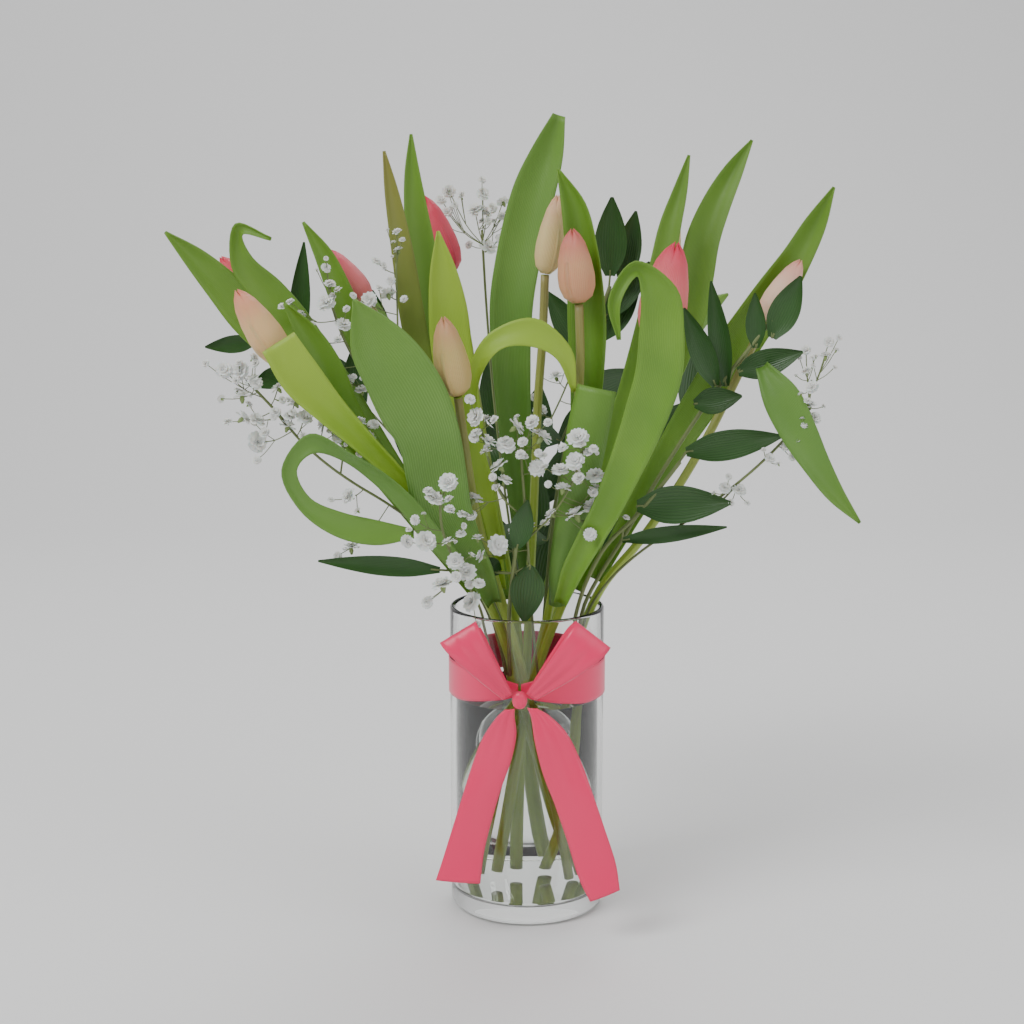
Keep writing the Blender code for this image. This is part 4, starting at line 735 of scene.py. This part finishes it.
PETAL_N = 72
rng = random.Random(7)
for unit_name in ORDER:
    if unit_name in LEAVES:
        grid = settle_sheet(leaf_sheet(LEAVES[unit_name]))
        remember([sheet_cloud(grid)])
        b = Build(); b.grid(finer_grid(grid))
        b.done("v_" + unit_name, [GREENS[TONE.get(unit_name, "mid")]], 0.55, unit_name)
    elif unit_name.startswith("tulip_"):
        number = unit_name[6:]
        spec = TULIPS[number]
        points = np.array([at(p) for p in spec["stem"]])
        path = spline(points, stations_for(points, 40))
        base, tip = path[-1], at(spec["tip"])
        cloud = bud_cloud(base, tip, spec["wide"])
        path = settle_tube(path, STEM_R, end=cloud)
        axis = tip - base
        base = path[-1]
        tip = base + axis
        remember([tube_cloud(path, STEM_R), (*bud_cloud(base, tip, spec["wide"]), None)])
        fine = finer_along(path, 6)
        b = Build(); b.tube(fine, np.linspace(STEM_R, STEM_R * 0.86, len(fine)), 16)
        b.done("v_tulip_stem_" + number, [STEM_MAT], 0, "tulip_stem_" + number)
        length = np.linalg.norm(axis); z = axis / length
        x = unit(np.cross(z, (0.2, 1.0, 0.1))); y = np.cross(z, x)
        shape = np.array(BUD[::-1])
        b = Build()
        for layer in (0, 1):
            for k in range(3):
                middle = 2 * math.pi * (k + 0.5 * layer) / 3 + 0.5 + float(number)
                rows = []
                for h in np.linspace(0.0, 1.0, 26):
                    r = np.interp(h, shape[:, 1], shape[:, 0]) * spec["wide"] / 2 * (0.955 if layer == 0 else 1.0)
                    r = max(r * (1 - 0.35 * max(0, h - 0.9) * 10 * 0.3), 0.6)
                    half = 1.18 * math.sqrt(max(0.0, 1 - max(0.0, (h - 0.45) / 0.56) ** 2.2)) + 0.02
                    row = []
                    for q in np.linspace(-1, 1, 15):
                        a = middle + half * q
                        ridge = 1 + 0.035 * math.exp(-(q * 5) ** 2) + 0.03 * q * q * (1 if layer else 0.3)
                        hh = h * (1.0 - 0.05 * abs(q) ** 2) * (0.985 if layer else 1.0)
                        row.append(base + z * (1.0 + hh * (length + 0.5)) + (x * math.cos(a) + y * math.sin(a)) * r * ridge)
                    rows.append(row)
                b.grid(np.array(rows))
        b.done("v_tulip_bud_" + number, [PETAL_MATS[number]], 0.35, "tulip_bud_" + number)
    elif unit_name in RUSCUS:
        spec = RUSCUS[unit_name]
        points = np.array([at(p) for p in spec["stem"]])
        path = settle_tube(spline(points, stations_for(points, 24)), 1.3)
        clouds = [tube_cloud(path, 1.3)]
        b = Build(); b.tube(finer_along(path, 4), 1.25, 10, 1)
        run = np.concatenate([[0], np.cumsum(np.linalg.norm(np.diff(path, axis=0), axis=1))])
        for k, (where, base, tip, wide, cup) in enumerate(spec["leaves"]):
            root = np.array([np.interp(where * run[-1], run, path[:, c]) for c in range(3)])
            grid = settle_sheet(small_leaf_sheet(base, tip, wide, cup))
            middle = grid[:, 1]
            inside = middle[0] + (middle[1] - middle[0]) * 0.3
            stalk = settle_tube(np.array([root, root * 0.67 + middle[0] * 0.33, root * 0.33 + middle[0] * 0.67, middle[0]]), 0.8, pinned=True)
            stalk[-1] = middle[0]
            clouds += [sheet_cloud(grid), tube_cloud(np.vstack([stalk, inside]), 0.8)]
            fine = finer_grid(grid, 5, 3)
            off = unit(np.cross(fine[1, 3] - fine[0, 3], fine[6, 0] - fine[6, 3])) * 0.22
            b.grid(fine + off); b.grid((fine - off)[:, ::-1])
            b.tube(finer_along(np.vstack([stalk, inside]), 4), 0.7, 8, 1)
        remember(clouds)
        b.done("v_" + unit_name, [RUSCUS_MAT, TWIG], 0, unit_name)
    else:
        spec = SPRAYS[unit_name]
        plan = spray_plan(spec)
        stems = [settle_tube(plan[0], 1.0)]
        for path in plan[1:]:
            first = stems[0]
            run = np.concatenate([[0], np.cumsum(np.linalg.norm(np.diff(first, axis=0), axis=1))])
            s = np.linspace(0, run[-1], 200)
            places = np.stack([np.interp(s, run, first[:, k]) for k in range(3)], 1)
            path[0] = places[np.argmin(np.linalg.norm(places - path[0], axis=1))]
            stems.append(settle_tube(path, 0.8, pinned=True))
        clouds = [tube_cloud(stems[0], 1.0)] + [tube_cloud(p, 0.8) for p in stems[1:]]
        b = Build()
        for k, p in enumerate(stems):
            b.tube(finer_along(p, 4), 0.85 if k == 0 else 0.6, 8, 0)
        for k, (column, row, depth, size) in enumerate(spec["florets"]):
            target = at((column, row, depth))
            radius = size * 0.62
            root = branch_point(stems, target)
            t = np.linspace(0, 1, 3)[:, None]
            sag = np.sin(np.pi * t) * np.linalg.norm(target - root) * 0.10 * np.array((0, 0, -1.0))
            stalk = root + (target - root) * t + sag
            ball = tube_cloud(np.array([target - (0, 0, radius * 0.9), target, target + (0, 0, radius * 0.9)]), [radius * 0.5, radius, radius * 0.5])[:2]
            stalk = settle_tube(stalk, 0.55, pinned=True, end=ball)
            target = stalk[-1]
            clouds.append(tube_cloud(stalk, 0.55))
            clouds.append(tube_cloud(np.array([target - (0, 0, radius * 0.9), target, target + (0, 0, radius * 0.9)]), [radius * 0.5, radius, radius * 0.5]))
            b.tube(finer_along(stalk, 5), 0.32, 6, 0)
            floret(b, target, radius * 1.12, rng)
            for more in range(2):
                # Smaller flowers on short stalks of their own, beside the large one.
                a = rng.uniform(0, 6.283)
                beside = target + np.array((math.cos(a), -0.25, math.sin(a))) * radius * rng.uniform(1.7, 2.3)
                half_way = (stalk[1] + beside) / 2 + np.array((0, 0.3, -1.0))
                b.tube(finer_along(np.array([stalk[1], half_way, beside]), 4), 0.26, 5, 0)
                floret(b, beside, radius * rng.uniform(0.45, 0.75), rng)
        remember(clouds)
        b.done("v_" + unit_name, [TWIG, FLORET, CALYX], 0, unit_name)


# Dark leaves deep in the bunch, behind everything else: partly real ruscus leaves and partly painted shade, dark sheets
# that stand for the shade inside the bunch.
b = Build()
for base, tip, wide, cup in (
    ((520, 590), (500, 520), 24, 4), ((540, 592), (560, 510), 24, 4), ((530, 545), (530, 455), 26, 4), ((545, 500), (590, 430), 22, 4),
    ((515, 490), (480, 420), 22, 4), ((530, 460), (540, 385), 24, 4), ((500, 430), (488, 360), 20, 3), ((560, 440), (620, 385), 20, 3),
    ((600, 500), (660, 440), 22, 4), ((640, 450), (700, 400), 22, 4), ((690, 420), (700, 330), 20, 4), ((440, 480), (390, 420), 20, 4),
    ((400, 450), (350, 400), 20, 4), ((360, 400), (320, 350), 18, 3), ((470, 540), (420, 500), 18, 3), ((570, 570), (620, 520), 18, 3),
    ((600, 340), (640, 280), 18, 3), ((380, 350), (372, 290), 16, 3),
):
    grid = settle_sheet(small_leaf_sheet((*base, 40), (*tip, 48), wide, cup))
    if grid[..., 1].max() > 148:
        continue
    remember([sheet_cloud(grid)])
    b.grid(finer_grid(grid, 5, 3))
    root = at((532, 588, 40))
    start = grid[0, 1]
    t = np.linspace(0, 1, 5)[:, None]
    twig = settle_tube(root + (start - root) * t, 0.8)
    if twig[:, 1].max() < 148:
        twig[-1] = start
        b.tube(finer_along(twig, 3), 0.7, 6, 1)
b.done("v_ruscus_and_painted_shade_deep", [RUSCUS_MAT, TWIG], 0, None)


def lathe(name, profile, mat, node, sides=160):
    profile = np.array(profile)
    a = np.linspace(0, 2 * np.pi, sides, endpoint=False)
    g = np.stack([profile[:, 0, None] * np.cos(a), profile[:, 0, None] * np.sin(a), np.repeat(profile[:, 1, None], sides, 1)], 2)
    b = Build(); o = b.grid(g[:, ::-1], 0, True)
    b.cap(0, sides, 0, True); b.cap(sides * (len(profile) - 1), sides, 0)
    import bmesh
    made = b.done(name, [mat], 0, node)
    bm = bmesh.new(); bm.from_mesh(made.data); bmesh.ops.recalc_face_normals(bm, faces=bm.faces); bm.to_mesh(made.data); bm.free()
    return made


inner = VASE_R - VASE_WALL
arc = lambda cx, cz, r, a0, a1, n: [(cx + r * math.cos(math.radians(t)), cz + r * math.sin(math.radians(t))) for t in np.linspace(a0, a1, n)]
lathe("v_glass_vase", [(0.4, VASE_FLOOR), (inner - 4, VASE_FLOOR)] + arc(inner - 3.5, VASE_FLOOR + 3.5, 3.5, -90, 0, 8) + [(inner, 60), (inner, 120), (inner, VASE_H - 2)] + arc(VASE_R - 1.75, VASE_H - 1.75, 1.75, 180, 0, 12) + [(VASE_R, 120), (VASE_R, 60)] + arc(VASE_R - 4, 4, 4, 0, -90, 8) + [(0.4, 0)], GLASS, "glass_vase")
wr = inner - 0.06
lathe("v_water", [(0.4, WATER_TOP)] + [(wr - 2.5, WATER_TOP), (wr - 0.8, WATER_TOP + 0.15), (wr, WATER_TOP + 0.7)] + [(wr, 60), (wr, VASE_FLOOR + 3.5)] + arc(inner - 3.5, VASE_FLOOR + 3.5, 3.44, 0, -90, 8) + [(0.4, VASE_FLOOR + 0.06)], WATER, "water")

# -------------------------------------------------------------------- ribbon
BOW = np.array((-5.0, -57.0, 151.5))


def ribbon(name, grid, node, ripple=0.0):
    fine = finer_grid(grid, 8, 5)
    if ripple:
        rows, cols = fine.shape[:2]
        q = np.linspace(-1, 1, cols)[None, :]
        t = np.linspace(0, 1, rows)[:, None]
        fade = np.clip(1 - np.abs(t - 0.2) * 2.2, 0.12, 1)
        fine[..., 1] -= ripple * fade * (np.cos(q * 9.0) + 0.4 * np.cos(q * 17 + t * 3))
    b = Build(); b.grid(fine)
    o = b.done("v_" + name, [SATIN], 0.3, node)
    return o


def strip_grid(spine, side, wide, belly=0.0):
    spine, side = np.asarray(spine, float), unit(np.asarray(side, float))
    q = np.array((-1.0, 0.0, 1.0))
    grid = spine[:, None] + side[:, None] * (np.asarray(wide)[:, None] / 2 * q)[..., None]
    grid[:, 1, 1] -= belly
    return grid


turn = np.radians(np.linspace(-90 + 1.0, 270 - 1.0, 41)) - math.radians(5.6)
pinch = np.clip(np.minimum(np.abs(turn - turn[0]), np.abs(turn - turn[-1])) / math.radians(50), 0, 1) ** 0.7
low = BAND_LOW + 9.0 * (1 - pinch)
high = BAND_HIGH - 7.0 * (1 - pinch)
radius = VASE_R + 0.85
band = np.stack([np.stack([radius * np.cos(turn), radius * np.sin(turn), low * (1 - f) + high * f], 1) for f in (0, 0.5, 1)], 1)
ribbon("ribbon_band", band, "ribbon_band")
b = Build()
a = np.linspace(0, 2 * np.pi, 40, endpoint=False)
rows = []
for t in np.linspace(0.03, math.pi - 0.03, 22):
    fold = 1 + 0.05 * np.cos(a * 9 + 2 * math.cos(t))
    rows.append(np.stack([BOW[0] + 4.6 * math.sin(t) ** 0.7 * np.cos(a) * fold, BOW[1] + 3.6 * math.sin(t) ** 0.7 * np.sin(a) * fold, BOW[2] + 5.6 * math.cos(t) + 0 * a], 1))
b.grid(np.array(rows)[:, ::-1], 0, True); b.cap(0, 40, 0); b.cap(40 * 21, 40, 0, True)
b.done("v_bow_knot", [SATIN], 0, "bow_knot")

fold_left = at((438, 643, -62)) - at((478, 619, -62))
far = at((458, 631, -62))
start = BOW + (-7.4, -0.4, 2.4)
out = far - start
LOOPS = {}
LOOPS["bow_loop_left"] = (
    [start + (0, -1.2, 0), start + out * 0.25 + (0, -6, 0), start + out * 0.55 + (0, -10, 0), start + out * 0.85 + (0, -9, 0), start + out + (0, -3, 0), start + out * 0.85 + (0, 2.6, 0), start + out * 0.55 + (0, 2.4, 0), start + out * 0.25 + (0, 2.4, 0), start + (0, 1.6, 0)],
    [fold_left] * 9, [7, 12, 18, 24, 26, 24, 18, 12, 7],
)
fold_right = at((613, 646, -62)) - at((574, 616, -62))
far = at((593, 633, -62))
start = BOW + (7.0, -0.4, 2.4)
out = far - start
LOOPS["bow_loop_right"] = (
    [start + (0, -1.2, 0), start + out * 0.25 + (0, -7, 0), start + out * 0.55 + (0, -12, 0), start + out * 0.85 + (0, -11, 0), start + out + (0, -4, 0), start + out * 0.85 + (0, 2.6, 0), start + out * 0.55 + (0, 2.4, 0), start + out * 0.25 + (0, 2.4, 0), start + (0, 1.6, 0)],
    [fold_right] * 9, [7, 13, 20, 26, 27, 26, 20, 13, 7],
)
left = [at(p) for p in ((510, 709, -58), (505, 718, -58), (499, 738, -57), (491, 765, -57), (481, 795, -58), (471, 828, -60), (463, 857, -63), (458, 882, -66))]
LOOPS["ribbon_tail_left"] = (left, [(1, 0, 0.10), (1, 0, 0.12), (1, -0.1, 0.16), (1, -0.15, 0.24), (1, 0.05, 0.28), (1, 0.15, 0.28), (1, 0.1, 0.2), (1, 0, -0.08)], [6, 12, 22, 26, 26, 27, 27, 28],  1.0)
right = [at(p) for p in ((532, 708, -59), (541, 718, -61), (551, 738, -62), (562, 768, -62), (574, 800, -64), (586, 835, -67), (597, 870, -71), (605, 896, -75))]
LOOPS["ribbon_tail_right"] = (right, [(1, 0, -0.1), (1, 0.1, 0.1), (1, 0.2, 0.2), (1, 0.1, 0.3), (1, -0.1, 0.35), (1, -0.1, 0.38), (1, 0, 0.4), (1, 0, 0.42)], [6, 12, 21, 25, 25, 25, 25, 20],  1.0)

for name, spec in LOOPS.items():
    ribbon(name, strip_grid(*spec), name, 0.7 if "loop" in name else 0.5)

# --------------------------------------------------------------------- stage
def plain(name, colour, rough):
    return shader(name, colour, rough)[0]


floor_data = bpy.data.meshes.new("floor")
profile = [(-3.0, -0.0006), (1.4, -0.0006)] + [(1.4 + 0.8 * math.sin(t), 0.8 - 0.8 * math.cos(t)) for t in np.linspace(0.1, 1.5708, 12)] + [(2.2, 3.5)]
floor_data.from_pydata([(x, y, z) for y, z in profile for x in (-4, 4)], [], [(2 * k, 2 * k + 1, 2 * k + 3, 2 * k + 2) for k in range(len(profile) - 1)])
for f in floor_data.polygons:
    f.use_smooth = True
floor = bpy.data.objects.new("floor", floor_data)
floor.data.materials.append(plain("floor_paper", (0.86, 0.86, 0.86), 0.8))
bpy.context.scene.collection.objects.link(floor)
world = bpy.data.worlds.new("studio")
bpy.context.scene.world = world
world.use_nodes = True
world.node_tree.nodes["Background"].inputs[0].default_value = (1, 1, 1, 1)
world.node_tree.nodes["Background"].inputs[1].default_value = 0.55


def lamp(name, place, size, power):
    d = bpy.data.lights.new(name, "AREA")
    d.shape, d.size, d.energy = "SQUARE", size, power
    o = bpy.data.objects.new(name, d)
    o.location = place
    o.rotation_euler = (Vector((0, 0, 0.25)) - Vector(place)).to_track_quat("-Z", "Y").to_euler()
    bpy.context.scene.collection.objects.link(o)


lamp("key", (-1.3, -1.1, 1.9), 1.1, 34)
lamp("fill", (1.6, -0.9, 1.1), 1.4, 10)
lamp("back", (0.3, 1.3, 1.8), 1.2, 14)
camera = bpy.data.cameras.new("camera")
camera.lens, camera.sensor_width = 62.05, 36.0
eye = bpy.data.objects.new("camera", camera)
eye.location = EYE * MM
eye.rotation_euler = (math.radians(90) - PITCH, 0, 0)
bpy.context.scene.collection.objects.link(eye)
bpy.context.scene.camera = eye
